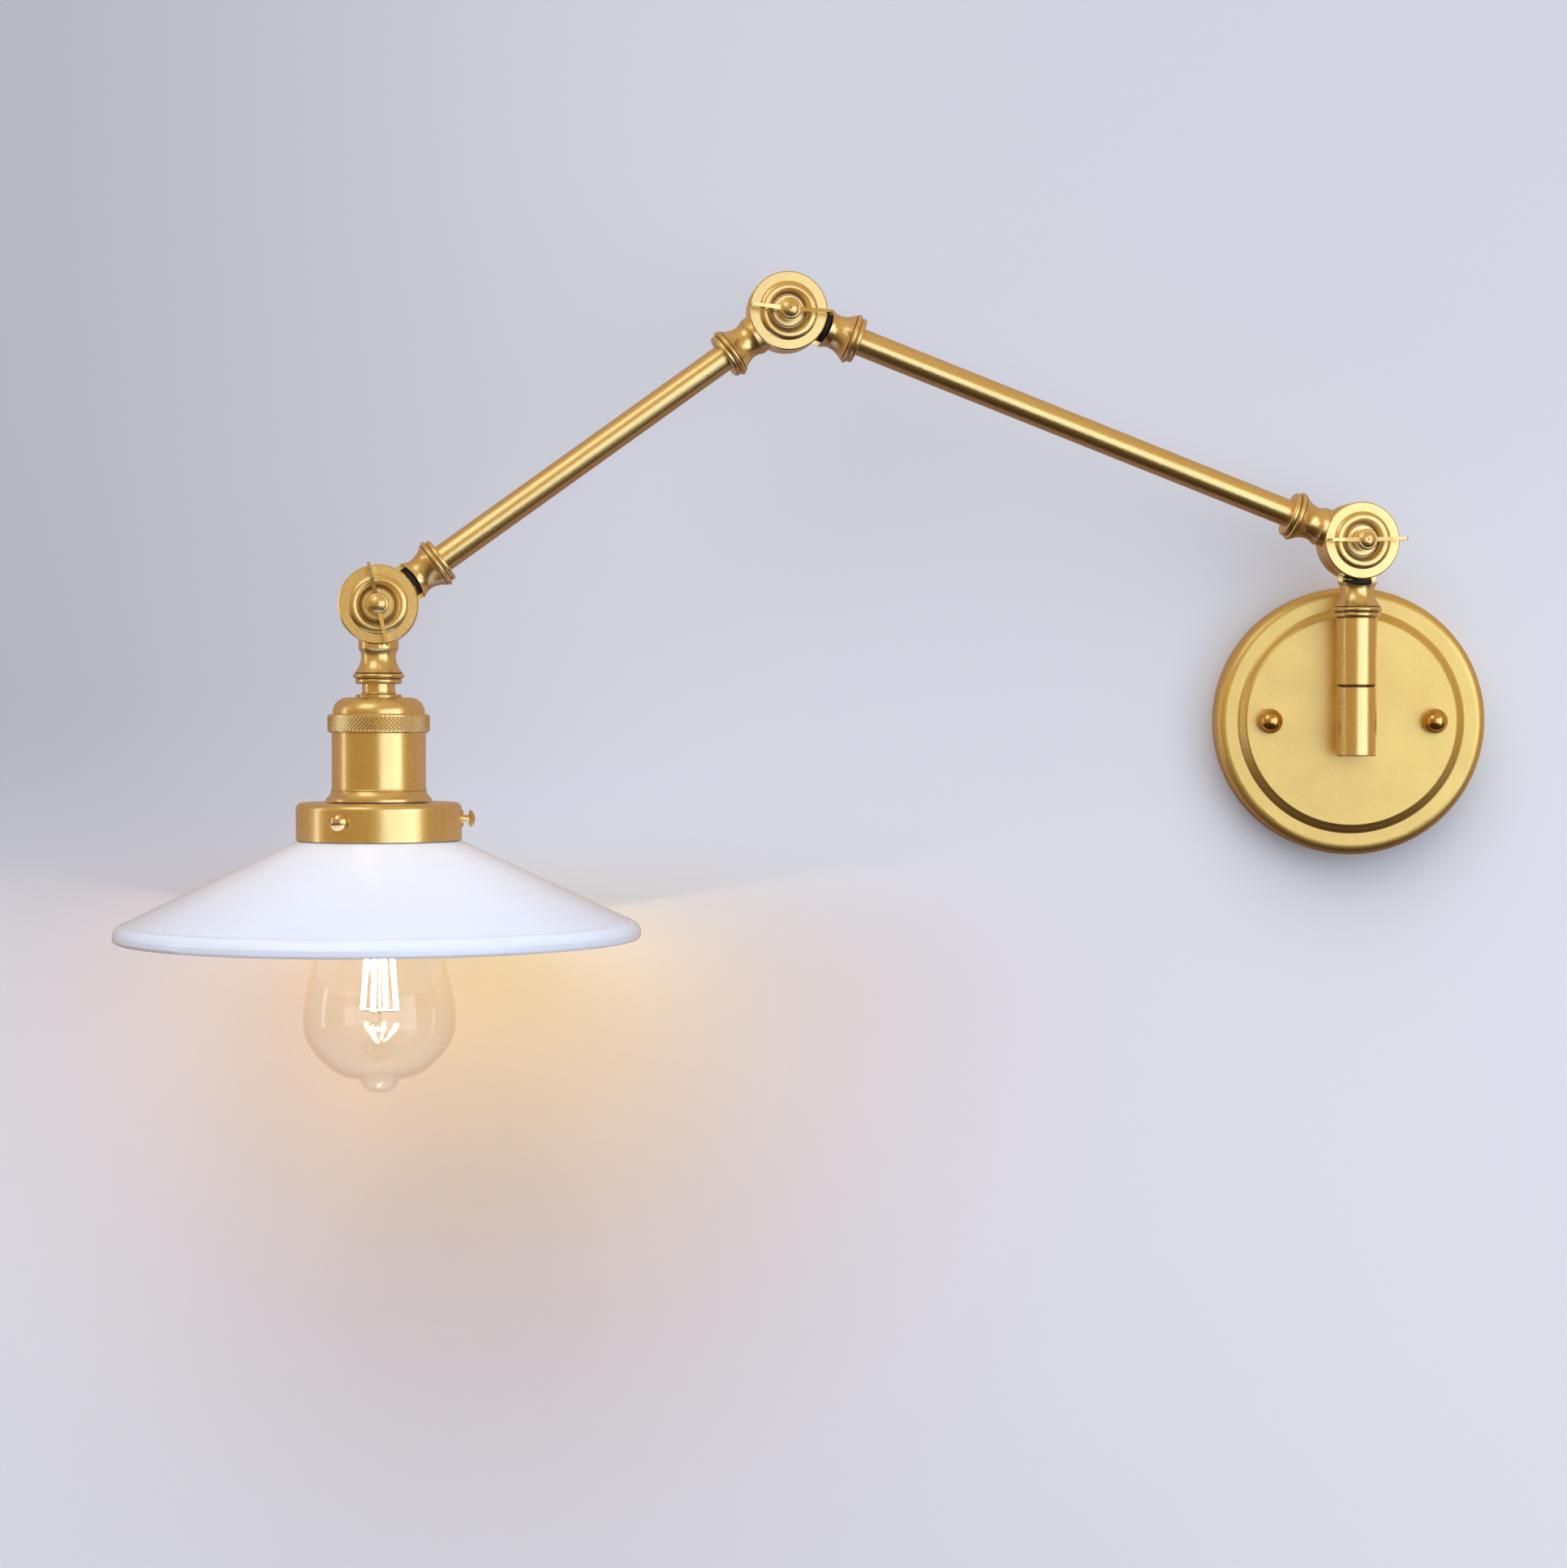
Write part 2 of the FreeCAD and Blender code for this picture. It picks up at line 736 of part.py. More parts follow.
def knuckle_half(front):
    """Disc and spool in one casting, in the hinge frame: X along the spool, Z to the front."""
    disc = disc_half()
    if not front:
        disc = moved(disc, Placement(Vector(), Rotation(X_AXIS, 180)))
    neck_room = disc_radius + relief_gap
    far = spool_bead_diameter
    inside = Part.makeCylinder(wire_chamber_diameter / 2, 2 * far, Vector(0, 0, -far))
    arm = spool_in_place().cut(inside)
    # the spool doesn't stand out of the disc's face
    face_low = disc_half_thickness - disc_edge if front else -far
    above = Part.makeCylinder(disc_radius, far - disc_half_thickness + disc_edge,
                              Vector(0, 0, face_low))
    arm = arm.cut(above)
    # the other half's disc turns in this clear arc
    other_low = -far if front else -half_gap
    arc = Part.makeCylinder(neck_room, far + half_gap, Vector(0, 0, other_low))
    arm = arm.cut(arc)
    half = disc.fuse(arm)
    mouth = spool_mouth_diameter / 2
    wire = spool_wire_bore / 2
    hollow = turned(
        (0, hub_diameter / 2), (wire, hub_diameter / 2), (wire, wire_chamber_diameter / 2),
        (mouth, wire_chamber_diameter / 2), (mouth, spool_mouth_end),
        (wire, spool_mouth_end + spool_mouth_taper), (wire, spool_length), (0, spool_length))
    half = half.cut(moved(hollow, turn_to_x()))
    socket = moved(rod(tube_radius + fixed_gap, tube_entry, spool_length), turn_to_x())
    half = half.cut(socket)
    if not front:
        pocket_low = -disc_half_thickness
        pocket = hexagon(hinge_nut_flats + 2 * fixed_gap, pocket_low - cut_over,
                         pocket_low + boss_sink + hinge_nut_height)
        half = half.cut(pocket)
    return positive(half.removeSplitter())


def knuckle(front, hinge, direction):
    """A knuckle half at its hinge. In the arm frame its Z axis points to the front."""
    turn = Placement(Vector(), Rotation(X_AXIS, -90))
    return moved(knuckle_half(front), turn, spool_frame(hinge, direction), arm_frame)


def hinge_nut(hinge, direction):
    low = -disc_half_thickness + boss_sink
    nut = hexagon(hinge_nut_flats, low, low + hinge_nut_height - seat_gap)
    nut = nut.cut(rod(hinge_screw_diameter / 2 + running_gap, low - cut_over, 0))
    turn = Placement(Vector(), Rotation(X_AXIS, -90))
    return moved(nut, turn, spool_frame(hinge, direction), arm_frame)


def friction_washer(hinge):
    low = -half_gap + seat_gap
    return across(pipe(
        hub_diameter / 2, hinge_screw_diameter / 2 + running_gap,
        low, low + friction_washer_thickness), hinge)


def wing_screw(hinge, wing_turn):
    """Clamping screw: shank through both halves, round knob and two thin flaring wings."""
    seat = disc_half_thickness - boss_sink + face_gap
    collar = wing_collar_diameter / 2
    knob = wing_knob_diameter / 2
    shank = hinge_screw_diameter / 2
    knob_low = seat + wing_collar_height
    crown_low = wing_knob_top - wing_knob_crown
    knob_shoulder = crown_low - wing_knob_edge
    rounding = wing_knob_edge * (1 - math.sqrt(0.5))
    end = -disc_half_thickness + boss_sink
    body = turned(
        (0, end), (shank - hinge_screw_chamfer, end), (shank, end + hinge_screw_chamfer),
        (shank, seat), (collar, seat), (collar, knob_low), (knob, knob_low + wing_knob_foot),
        (knob, knob_shoulder),
        ((knob - rounding, crown_low - rounding), (knob - wing_knob_edge, crown_low)),
        dome(knob - wing_knob_edge, crown_low, wing_knob_top))
    dimple = Part.makeCone(0, 2 * wing_dimple_depth, 2 * wing_dimple_depth,
                           Vector(0, 0, wing_knob_top - wing_dimple_depth), Z_AXIS)
    body = body.cut(dimple)
    root_middle = (knob_low + knob_shoulder) / 2 + wing_root_lift
    for side in (-1, 1):
        body = body.fuse(wing(side, root_middle, knob))
    place = Placement(Vector(), Rotation(Z_AXIS, wing_turn))
    return across(moved(body, place), hinge)


def wing(side, root_middle, knob):
    """One wing, lofted from its root inside the knob to a rounded, higher tip."""
    tip = wing_span / 2
    round_tip = wing_tip_height * wing_tip_rounding
    sections = []
    for share, height, thickness in (
            (0.0, wing_root_height, wing_root_thickness),
            (wing_belly_station, (wing_root_height + wing_tip_height) / 2 + wing_belly_height,
             (wing_root_thickness + wing_tip_thickness) / 2),
            (1.0, wing_tip_height, wing_tip_thickness)):
        x = knob * 0.5 + (tip - knob * 0.5) * share
        middle = root_middle + wing_lift * share
        half_h = height / 2
        half_t = thickness / 2
        corners = [Vector(x, -half_t, middle - half_h), Vector(x, half_t, middle - half_h),
                   Vector(x, half_t, middle + half_h), Vector(x, -half_t, middle + half_h)]
        sections.append(Part.makePolygon(corners + corners[:1]))
    blade = Part.makeLoft(sections, True, True)
    rounding = Part.makeCylinder(
        round_tip, 2 * wing_root_thickness,
        Vector(tip - round_tip, -wing_root_thickness, root_middle + wing_lift),
        Y_AXIS)
    keep = Part.makeBox(
        tip - round_tip, 2 * wing_root_thickness, 6 * wing_tip_height,
        Vector(0, -wing_root_thickness, root_middle + wing_lift - 3 * wing_tip_height))
    blade = blade.common(keep.fuse(rounding))
    if side < 0:
        blade = moved(blade, Placement(Vector(), Rotation(Z_AXIS, 180)))
    return blade


# ---- arm tubes and wires ------------------------------------------------------------------------
def arm_tube(hinge, direction, length):
    tube = pipe(tube_radius, tube_radius - tube_wall,
                tube_entry + seat_gap, length - tube_entry - seat_gap)
    return along(tube, hinge, direction)


def straight_lead(hinge, direction, low, high):
    return along(rod(lead_diameter / 2, low, high), hinge, direction)


def supply_leads():
    """Two cores from the connector block, forward through the stub nipple into the post."""
    core = lead_core_diameter() / 2
    radius = lead_bend_radius
    leads = []
    start_y = -terminal_drop + terminal_height / 2 + face_gap
    depth = strap_thickness + seat_gap + terminal_depth * 0.6
    pitch = terminal_width / terminal_ways
    end = post_standoff - post_cavity_diameter / 2 + supply_lead_tail
    turn_y = start_y + supply_lead_stub
    for side in (-1, 1):
        x_block = side * pitch / 2
        x_bore = side * core * supply_lead_spread
        points = [Vector(x_block, start_y, depth), Vector(x_block, turn_y, depth),
                  Vector(x_bore, 0, depth), Vector(x_bore, 0, end)]
        leads.append(moved(round_lead(points, core, radius), wall_frame))
    return leads


def round_lead(points, core, radius):
    """A wire of round section along straight runs joined by tangent arcs."""
    edges = []
    here = points[0]
    for index in range(1, len(points) - 1):
        corner = points[index]
        back = (points[index - 1] - corner).normalize()
        ahead = (points[index + 1] - corner).normalize()
        half_angle = (math.pi - back.getAngle(ahead)) / 2
        short_run = min(corner.distanceToPoint(points[index - 1]),
                        corner.distanceToPoint(points[index + 1]))
        bend = min(radius, 0.45 * short_run / math.tan(half_angle))
        reach = bend * math.tan(half_angle)
        start = corner + back * reach
        end = corner + ahead * reach
        inward = (back + ahead).normalize()
        middle = corner + inward * (bend / math.cos(half_angle) - bend)
        edges.append(Part.LineSegment(here, start).toShape())
        edges.append(Part.Arc(start, middle, end).toShape())
        here = end
    edges.append(Part.LineSegment(here, points[-1]).toShape())
    path = Part.Wire(edges)
    first = (points[1] - points[0]).normalize()
    section = Part.Wire(Part.Circle(points[0], first, core).toShape())
    return positive(path.makePipeShell([section], True, False))


# ---- lamp head ----------------------------------------------------------------------------------
def head_piece(shape):
    """Places a piece turned about Z, where Z is the distance below the third hinge."""
    return along(shape, wrist, -90)


def neck_collar():
    """Plain sleeve between knuckle and cap, with a slim ring at its foot."""
    radius = neck_collar_diameter / 2
    ring = neck_ring_diameter / 2
    bore = tube_radius + fixed_gap
    low = spool_length + seat_gap
    split = spool_length + neck_collar_length
    return turned(
        (bore, low), (radius, low), (radius, split),
        ((ring, split + neck_ring_length / 2), (radius, cap_top - seat_gap)),
        (bore, cap_top - seat_gap))


def neck_nipple():
    """Threaded tube that joins the head to the knuckle."""
    low = tube_entry + seat_gap
    high = cap_top + cap_wall + neck_nut_height + neck_nipple_tail
    return pipe(tube_radius, tube_radius - nipple_wall, low, high)


def neck_nut():
    low = cap_top + cap_wall + seat_gap
    return hex_nut(neck_nut_flats, tube_radius + fixed_gap, low, low + neck_nut_height)


def holder_cap():
    """Domed cap with a small flange on top, open below."""
    flange = cap_flange_diameter / 2
    shoulder_r = cap_shoulder_diameter / 2
    outer = cap_diameter / 2
    edge = cap_flange_edge
    flange_foot = cap_top + cap_flange_height
    dome_top = flange_foot + cap_dome_step
    bulge = math.sqrt(0.5)
    inner = outer - cap_wall
    inner_top = flange_foot + cap_wall
    bore = tube_radius + fixed_gap
    return turned(
        (bore, cap_top), (flange - edge, cap_top), (flange, cap_top + edge),
        (flange, flange_foot), (shoulder_r, dome_top),
        ((shoulder_r + (outer - shoulder_r) * bulge,
          cap_bottom - (cap_bottom - dome_top) * bulge), (outer, cap_bottom)),
        (inner, cap_bottom),
        ((shoulder_r - cap_wall * 0.4 + (inner - shoulder_r + cap_wall * 0.4) * bulge,
          cap_bottom - (cap_bottom - inner_top) * bulge),
         (shoulder_r - cap_wall * 0.4, inner_top)),
        (cap_well_diameter / 2, inner_top),
        (cap_well_diameter / 2, cap_top + cap_wall),
        (bore, cap_top + cap_wall))


def knurled_ring():
    """Threaded ring that joins cap and shell; its grip pattern is a surface texture."""
    outer = knurl_diameter / 2
    bore = shell_diameter / 2 - shell_wall + fixed_gap
    low = cap_bottom + seat_gap
    high = knurl_bottom - seat_gap
    return chamfered_pipe(outer, bore, low, high, knurl_edge)


def holder_shell():
    """Cylinder over the lampholder with a bead and a flared skirt at its foot."""
    outer = shell_diameter / 2
    inner = outer - shell_wall
    skirt = skirt_diameter / 2
    straight = knurl_bottom + shell_straight
    flare_end = shell_bottom - skirt_bead * 2
    middle_r = outer + (skirt - outer) * 0.38
    return turned(
        (inner, knurl_bottom), (outer, knurl_bottom), (outer, straight),
        ((outer + skirt_bead, straight + skirt_bead), (outer + skirt_bead * 0.4,
                                                       straight + 2 * skirt_bead)),
        ((middle_r, (straight + flare_end) / 2 + skirt_bead), (skirt, flare_end)),
        (skirt, shell_bottom),
        (skirt - shell_wall, shell_bottom),
        ((middle_r - shell_wall * 0.9, (straight + flare_end) / 2 + 2 * skirt_bead),
         (inner, straight + skirt_bead)))


def holder_insulator():
    """Lampholder body: closed at the top, threaded outside below the shell for the ring nut."""
    outer = insulator_diameter / 2
    inner = outer - insulator_wall
    floor = insulator_top + insulator_floor
    body = turned(
        (0, insulator_top), (outer - insulator_edge, insulator_top),
        (outer, insulator_top + insulator_edge),
        (outer, insulator_bottom), (inner, insulator_bottom), (inner, floor), (0, floor))
    for side in (-1, 1):
        way = rod(lead_core_diameter() * 0.6, insulator_top - cut_over, floor + cut_over)
        way.translate(Vector(side * inner * 0.6, 0, 0))
        body = body.cut(way)
    return body


def screw_shell():
    """Plated screw shell that takes the bulb's cap."""
    outer = socket_shell_diameter / 2
    floor = insulator_top + insulator_floor + seat_gap
    inner = outer - socket_shell_wall
    hole = contact_diameter / 2 + contact_clearance
    rim = insulator_bottom - socket_shell_lift
    return turned(
        (hole, floor), (outer, floor), (outer, rim), (inner, rim),
        (inner, floor + socket_shell_wall), (hole, floor + socket_shell_wall))


def centre_contact():
    low = insulator_top + insulator_floor + seat_gap
    radius = contact_diameter / 2
    high = bulb_contact - seat_gap
    return turned((0, low), (radius, low), (radius, low + contact_height * 0.5),
                  (radius * 0.5, high), (0, high))


def fitter_ring_nut():
    """Ring that clamps the fitter up against the shell's skirt."""
    low = fitter_top + fitter_wall + seat_gap
    bore = insulator_diameter / 2 + fixed_gap
    return chamfered_pipe(
        ring_nut_diameter / 2, bore, low, low + ring_nut_height, ring_nut_edge)


def shade_fitter():
    """Drawn cup, open below, with a threaded insert for each shade screw."""
    outer = fitter_diameter / 2
    inner = outer - fitter_wall
    bend = fitter_edge_radius
    inner_bend = bend - fitter_wall
    share = 1 - math.sqrt(0.5)
    bore = insulator_diameter / 2 + fixed_gap
    cup = turned(
        (bore, fitter_top), (outer - bend, fitter_top),
        ((outer - bend * share, fitter_top + bend * share), (outer, fitter_top + bend)),
        (outer, fitter_bottom), (inner, fitter_bottom), (inner, fitter_top + bend),
        ((inner - inner_bend * share, fitter_top + fitter_wall + inner_bend * share),
         (outer - bend, fitter_top + fitter_wall)),
        (bore, fitter_top + fitter_wall))
    for index in range(shade_screw_count):
        insert = Part.makeCylinder(
            shade_insert_diameter / 2, fitter_wall * 0.6 + shade_insert_height,
            Vector(inner + fitter_wall * 0.4, 0, screw_level), X_AXIS)
        hole = Part.makeCylinder(
            shade_screw_diameter / 2 + running_gap,
            fitter_wall + shade_insert_height + 2 * cut_over,
            Vector(inner - cut_over, 0, screw_level), X_AXIS)
        turn = Placement(Vector(), Rotation(Z_AXIS, shade_screw_angle(index)))
        cup = cup.fuse(moved(insert, turn)).cut(moved(hole, turn))
    return cup.removeSplitter()


def shade_screw_angle(index):
    """Angle about the head's own Z axis, from its X axis."""
    return 90.0 - shade_screw_turn - index * 360.0 / shade_screw_count


def shade_screw(index):
    """Thumb screw: its point bears on the shade's neck, its round head stands outside."""
    point = shade_neck_diameter / 2 + shade_screw_gap
    head_low = fitter_diameter / 2 + shade_screw_shank
    head = shade_screw_head_diameter / 2
    shank = shade_screw_diameter / 2
    top = head_low + shade_screw_head_height
    rim = head_low + shade_screw_head_height * 0.25
    screw = turned(
        (0, point), (shank * 0.6, point), (shank, point + shank * 0.4), (shank, head_low),
        (head * 0.8, head_low), (head, rim), dome(head, rim, top))
    screw = moved(screw, turn_to_x(), Placement(Vector(0, 0, screw_level), Rotation()))
    return moved(screw, Placement(Vector(), Rotation(Z_AXIS, shade_screw_angle(index))))


# ---- shade ----------------------------------------------------------------------------------------
def glass_shade():
    """Opal glass: beaded lip and neck inside the fitter, straight cone, turned-down rim."""
    slope = math.radians(shade_slope)
    lip = shade_lip_diameter / 2
    neck = shade_neck_diameter / 2
    inner_neck = neck - shade_wall
    lip_top = fitter_top + fitter_wall + shade_lip_gap
    shoulder_level = fitter_bottom + shade_fitter_gap
    start_r = fitter_diameter / 2 - shade_shoulder_inset
    rim = shade_diameter / 2
    rim_top = shade_bottom - shade_rim_height
    curl_r = rim - shade_rim_curl
    cone_end = rim_top - shade_rim_curl * math.tan(slope)
    # along the cone, one wall down and in
    wall_down = shade_wall / math.cos(slope)
    edge_r = rim - shade_wall / 2
    inner_curl_r = curl_r - shade_wall * 0.45
    inner_cone_end = cone_end + wall_down - shade_wall * 0.45 * math.tan(slope)
    low_bend = shade_bottom - shade_wall / 2
    lip_edge = lip - shade_lip_round
    lip_foot = lip_top + shade_lip_height
    neck_foot = shoulder_level - shade_shoulder_height
    return turned(
        (inner_neck, lip_top), (lip_edge, lip_top),
        ((lip, (lip_top + lip_foot) / 2), (lip_edge, lip_foot)),
        (neck, lip_foot + shade_lip_taper),
        (neck, neck_foot),
        ((neck + (start_r - neck) * 0.3, shoulder_level - shade_shoulder_height * 0.22),
         (start_r, shoulder_level)),
        (curl_r, cone_end),
        ((rim - shade_rim_curl * 0.3, rim_top - shade_rim_curl * 0.1),
         (rim, rim_top + shade_rim_round)),
        (rim, low_bend),
        ((edge_r, shade_bottom), (rim - shade_wall, low_bend)),
        ((inner_curl_r + (rim - shade_wall - inner_curl_r) * 0.62,
          inner_cone_end + shade_rim_curl * 0.28),
         (inner_curl_r, inner_cone_end)),
        (start_r, shoulder_level + wall_down),
        ((inner_neck + (start_r - inner_neck) * 0.3, shoulder_level + wall_down * 0.39),
         (inner_neck, neck_foot)))


# ---- bulb -----------------------------------------------------------------------------------------
def bulb_outline(inset):
    """Edges of the bulb's glass, moved inwards by inset, from its crown to the lowest point."""
    widest = bulb_diameter / 2 - inset
    waist = bulb_waist_diameter / 2 - inset
    neck = bulb_neck_diameter / 2 - inset
    crown = min(neck, bulb_cap_diameter / 2 - bulb_cap_edge - inset)
    pip = bulb_pip_diameter / 2 - inset
    low = bulb_widest + bulb_bottom_height - inset
    pip_end = bulb_end - inset
    start = bulb_glass_top + inset
    neck_level = bulb_glass_top + (bulb_widest - bulb_glass_top) * 0.16
    upper = Part.BSplineCurve()
    upper.interpolate(
        [Vector(crown, 0, start), Vector(neck, 0, neck_level),
         Vector(waist, 0, bulb_widest - bulb_waist_height), Vector(widest, 0, bulb_widest)],
        Tangents=[Vector(0.3, 0, 1), Vector(), Vector(), Vector(0, 0, 1)],
        TangentFlags=[True, False, False, True])
    lower = Part.BSplineCurve()
    lower.interpolate(
        [Vector(widest, 0, bulb_widest),
         Vector(widest * 0.9, 0, bulb_widest + (low - bulb_widest) * 0.46),
         Vector(widest * 0.66, 0, bulb_widest + (low - bulb_widest) * 0.79),
         Vector(pip, 0, low - bulb_pip_step)],
        Tangents=[Vector(0, 0, 1), Vector(), Vector(), Vector(-1, 0, 0.12)],
        TangentFlags=[True, False, False, True])
    tip = Part.BSplineCurve()
    tip.interpolate(
        [Vector(pip, 0, low - bulb_pip_step),
         Vector(pip * 0.72, 0, pip_end - bulb_pip_height * 0.35),
         Vector(0, 0, pip_end)],
        Tangents=[Vector(-0.6, 0, 1), Vector(), Vector(-1, 0, 0)],
        TangentFlags=[True, False, True])
    crown_edge = Part.LineSegment(Vector(0, 0, start), Vector(crown, 0, start))
    axis = Part.LineSegment(Vector(0, 0, pip_end), Vector(0, 0, start))
    return [crown_edge.toShape(), upper.toShape(), lower.toShape(), tip.toShape(),
            axis.toShape()]


def bulb_glass():
    """Clear pear-shaped envelope, hollow."""
    return turned_edges(bulb_outline(0)).cut(turned_edges(bulb_outline(bulb_glass_wall)))


def bulb_base():
    """Screw cap and its centre contact."""
    tip = bulb_tip_diameter / 2
    cap = bulb_cap_diameter / 2
    low = bulb_contact + bulb_tip_length
    high = bulb_glass_top
    edge = bulb_cap_edge
    return turned(
        (0, bulb_contact), (tip * 0.8, bulb_contact), (tip, bulb_contact + edge),
        (cap * 0.62, low - edge), (cap - edge, low), (cap, low + edge), (cap, high), (0, high))


def bulb_stem():
    """Glass mount inside the bulb: flared foot and thin pillar."""
    low = stem_top
    foot = bulb_cap_diameter / 2 - bulb_cap_edge - bulb_glass_wall - stem_foot_room
    pillar = stem_diameter / 2
    return turned(
        (0, low), (foot, low),
        ((pillar + (foot - pillar) * 0.25, low + stem_length * 0.28),
         (pillar, low + stem_length * 0.55)),
        (pillar * 0.8, low + stem_length), (0, low + stem_length))


def filament_points(index):
    """Upper and lower end of one light stick, in the head's turned frame."""
    angle = math.radians(360.0 * index / filament_count + filament_turn)
    low = bulb_end - filament_end_height
    top_r = filament_ring_top / 2
    bottom_r = filament_ring_bottom / 2
    high = low - math.sqrt(filament_length ** 2 - (bottom_r - top_r) ** 2)
    return (Vector(top_r * math.cos(angle), top_r * math.sin(angle), high),
            Vector(bottom_r * math.cos(angle), bottom_r * math.sin(angle), low))


def bulb_filaments(extra=0.0):
    """The light sticks, made larger all round by extra where room is cut for them."""
    sticks = []
    for index in range(filament_count):
        top, bottom = filament_points(index)
        way = (bottom - top).normalize()
        sticks.append(Part.makeCylinder(
            filament_diameter / 2 + extra, filament_length + 2 * extra, top - way * extra, way))
    return sticks


def filament_frame():
    """Support wires: a centre rod from the stem with a star at each end of the filaments."""
    top, bottom = filament_points(0)
    wire = frame_wire / 2
    start = stem_top + stem_length + seat_gap
    frame = rod(wire, start, bottom.z + frame_tail)
    for index in range(filament_count):
        for end, lift in zip(filament_points(index), (-wire, wire)):
            hub = Vector(0, 0, end.z + lift)
            spoke_end = Vector(end.x, end.y, hub.z)
            frame = frame.fuse(Part.makeCylinder(
                wire, spoke_end.distanceToPoint(hub) + wire, hub, spoke_end - hub))
    for stick in bulb_filaments(fixed_gap):
        frame = frame.cut(stick)
    return frame.removeSplitter()


# ---- write every piece -----------------------------------------------------------------------------
def main():
    os.makedirs("parts", exist_ok=True)

    write("wall_plate", wall_plate())
    write("mounting_strap", mounting_strap())
    write("strap_studs", *pair_at_studs(strap_stud()))
    write("stud_lock_nuts", *pair_at_studs(stud_lock_nut()))
    write("ball_nuts", *pair_at_studs(ball_nut()))
    write("earth_screw", earth_screw())
    write("terminal_block", terminal_block())
    write("supply_leads", *supply_leads())
    write("stub_nipple", stub_nipple())
    write("stub_collar", stub_collar())
    write("nipple_washer", nipple_washer())
    write("nipple_lock_nut", nipple_lock_nut())
    write("post_lower", post_lower())
    write("post_end_cap", post_end_cap())
    write("thrust_washer", thrust_washer())

    write("post_upper", post_upper())
    write("swivel_pin", swivel_pin())
    write("swivel_nut", swivel_nut())
    write("post_top_nipple", post_top_nipple())
    write("post_lead", on_post(rod(
        lead_diameter / 2, post_split_height - post_ledge_thickness - swivel_nut_height,
        shoulder_height - disc_radius)))

    hinges = (
        (1, shoulder, -90.0, arm_1_rise, wing_turn_1),
        (2, elbow, 180.0 + arm_1_rise, -arm_2_fall, wing_turn_2),
        (3, wrist, 180.0 - arm_2_fall, -90.0, wing_turn_3))
    for number, hinge, rear, front, wing_turn in hinges:
        write("knuckle_%d_rear" % number, knuckle(False, hinge, rear))
        write("knuckle_%d_front" % number, knuckle(True, hinge, front))
        write("hinge_nut_%d" % number, hinge_nut(hinge, rear))
        write("friction_washer_%d" % number, friction_washer(hinge))
        write("wing_screw_%d" % number, wing_screw(hinge, wing_turn))

    arms = (
        (1, shoulder, arm_1_rise, arm_1_length),
        (2, elbow, -arm_2_fall, arm_2_length))
    for number, hinge, direction, length in arms:
        write("arm_%d_tube" % number, arm_tube(hinge, direction, length))
        write("arm_%d_lead" % number, straight_lead(
            hinge, direction, disc_radius, length - disc_radius))

    write("neck_collar", head_piece(neck_collar()))
    write("neck_nipple", head_piece(neck_nipple()))
    write("neck_nut", head_piece(neck_nut()))
    write("holder_cap", head_piece(holder_cap()))
    write("knurled_ring", head_piece(knurled_ring()))
    write("holder_shell", head_piece(holder_shell()))
    write("holder_insulator", head_piece(holder_insulator()))
    write("screw_shell", head_piece(screw_shell()))
    write("centre_contact", head_piece(centre_contact()))
    write("fitter_ring_nut", head_piece(fitter_ring_nut()))
    write("shade_fitter", head_piece(shade_fitter()))
    write("glass_shade", head_piece(glass_shade()))
    write("bulb_glass", head_piece(bulb_glass()))
    write("bulb_base", head_piece(bulb_base()))
    write("bulb_stem", head_piece(bulb_stem()))
    write("filament_frame", head_piece(filament_frame()))
    write("bulb_filaments", *[head_piece(stick) for stick in bulb_filaments()])
    write("head_lead", straight_lead(
        wrist, -90, disc_radius, cap_top + cap_wall + neck_nut_height))
    for index in range(shade_screw_count):
        write("shade_screw_%d" % (index + 1), head_piece(shade_screw(index)))


main()
for name, shape in written:
    box = shape.BoundBox
    print("%-18s %8.1f mm3  x %.1f %.1f  y %.1f %.1f  z %.1f %.1f" % (
        name, shape.Volume, box.XMin, box.XMax, box.YMin, box.YMax, box.ZMin, box.ZMax))
print(len(written), "nodes")
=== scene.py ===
import json
import math

import bmesh
import bpy
from mathutils import Matrix, Vector


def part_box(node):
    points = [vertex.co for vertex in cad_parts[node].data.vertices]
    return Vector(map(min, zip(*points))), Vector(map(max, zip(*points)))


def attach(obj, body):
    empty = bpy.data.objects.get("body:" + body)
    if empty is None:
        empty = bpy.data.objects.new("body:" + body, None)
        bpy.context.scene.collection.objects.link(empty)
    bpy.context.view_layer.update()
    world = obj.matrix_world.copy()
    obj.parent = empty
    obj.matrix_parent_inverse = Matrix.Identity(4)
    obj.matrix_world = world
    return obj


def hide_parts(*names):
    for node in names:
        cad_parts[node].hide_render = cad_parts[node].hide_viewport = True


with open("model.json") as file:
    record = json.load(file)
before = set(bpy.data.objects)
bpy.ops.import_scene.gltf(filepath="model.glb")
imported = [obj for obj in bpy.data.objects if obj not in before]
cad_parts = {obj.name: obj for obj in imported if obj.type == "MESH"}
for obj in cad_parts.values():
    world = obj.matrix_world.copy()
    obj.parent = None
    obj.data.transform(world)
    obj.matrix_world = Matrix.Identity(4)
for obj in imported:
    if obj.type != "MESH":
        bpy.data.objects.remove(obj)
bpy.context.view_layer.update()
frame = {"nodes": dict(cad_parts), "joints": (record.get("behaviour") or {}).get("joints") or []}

# Looks of the articulating wall lamp. Metres; the wall is the plane Y = 0, the room is towards -Y.

nodes = frame["nodes"]

# ---- places that the looks need, read from the frame ------------------------------------
def middle(node):
    low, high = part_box(node)
    return (Vector(low) + Vector(high)) / 2


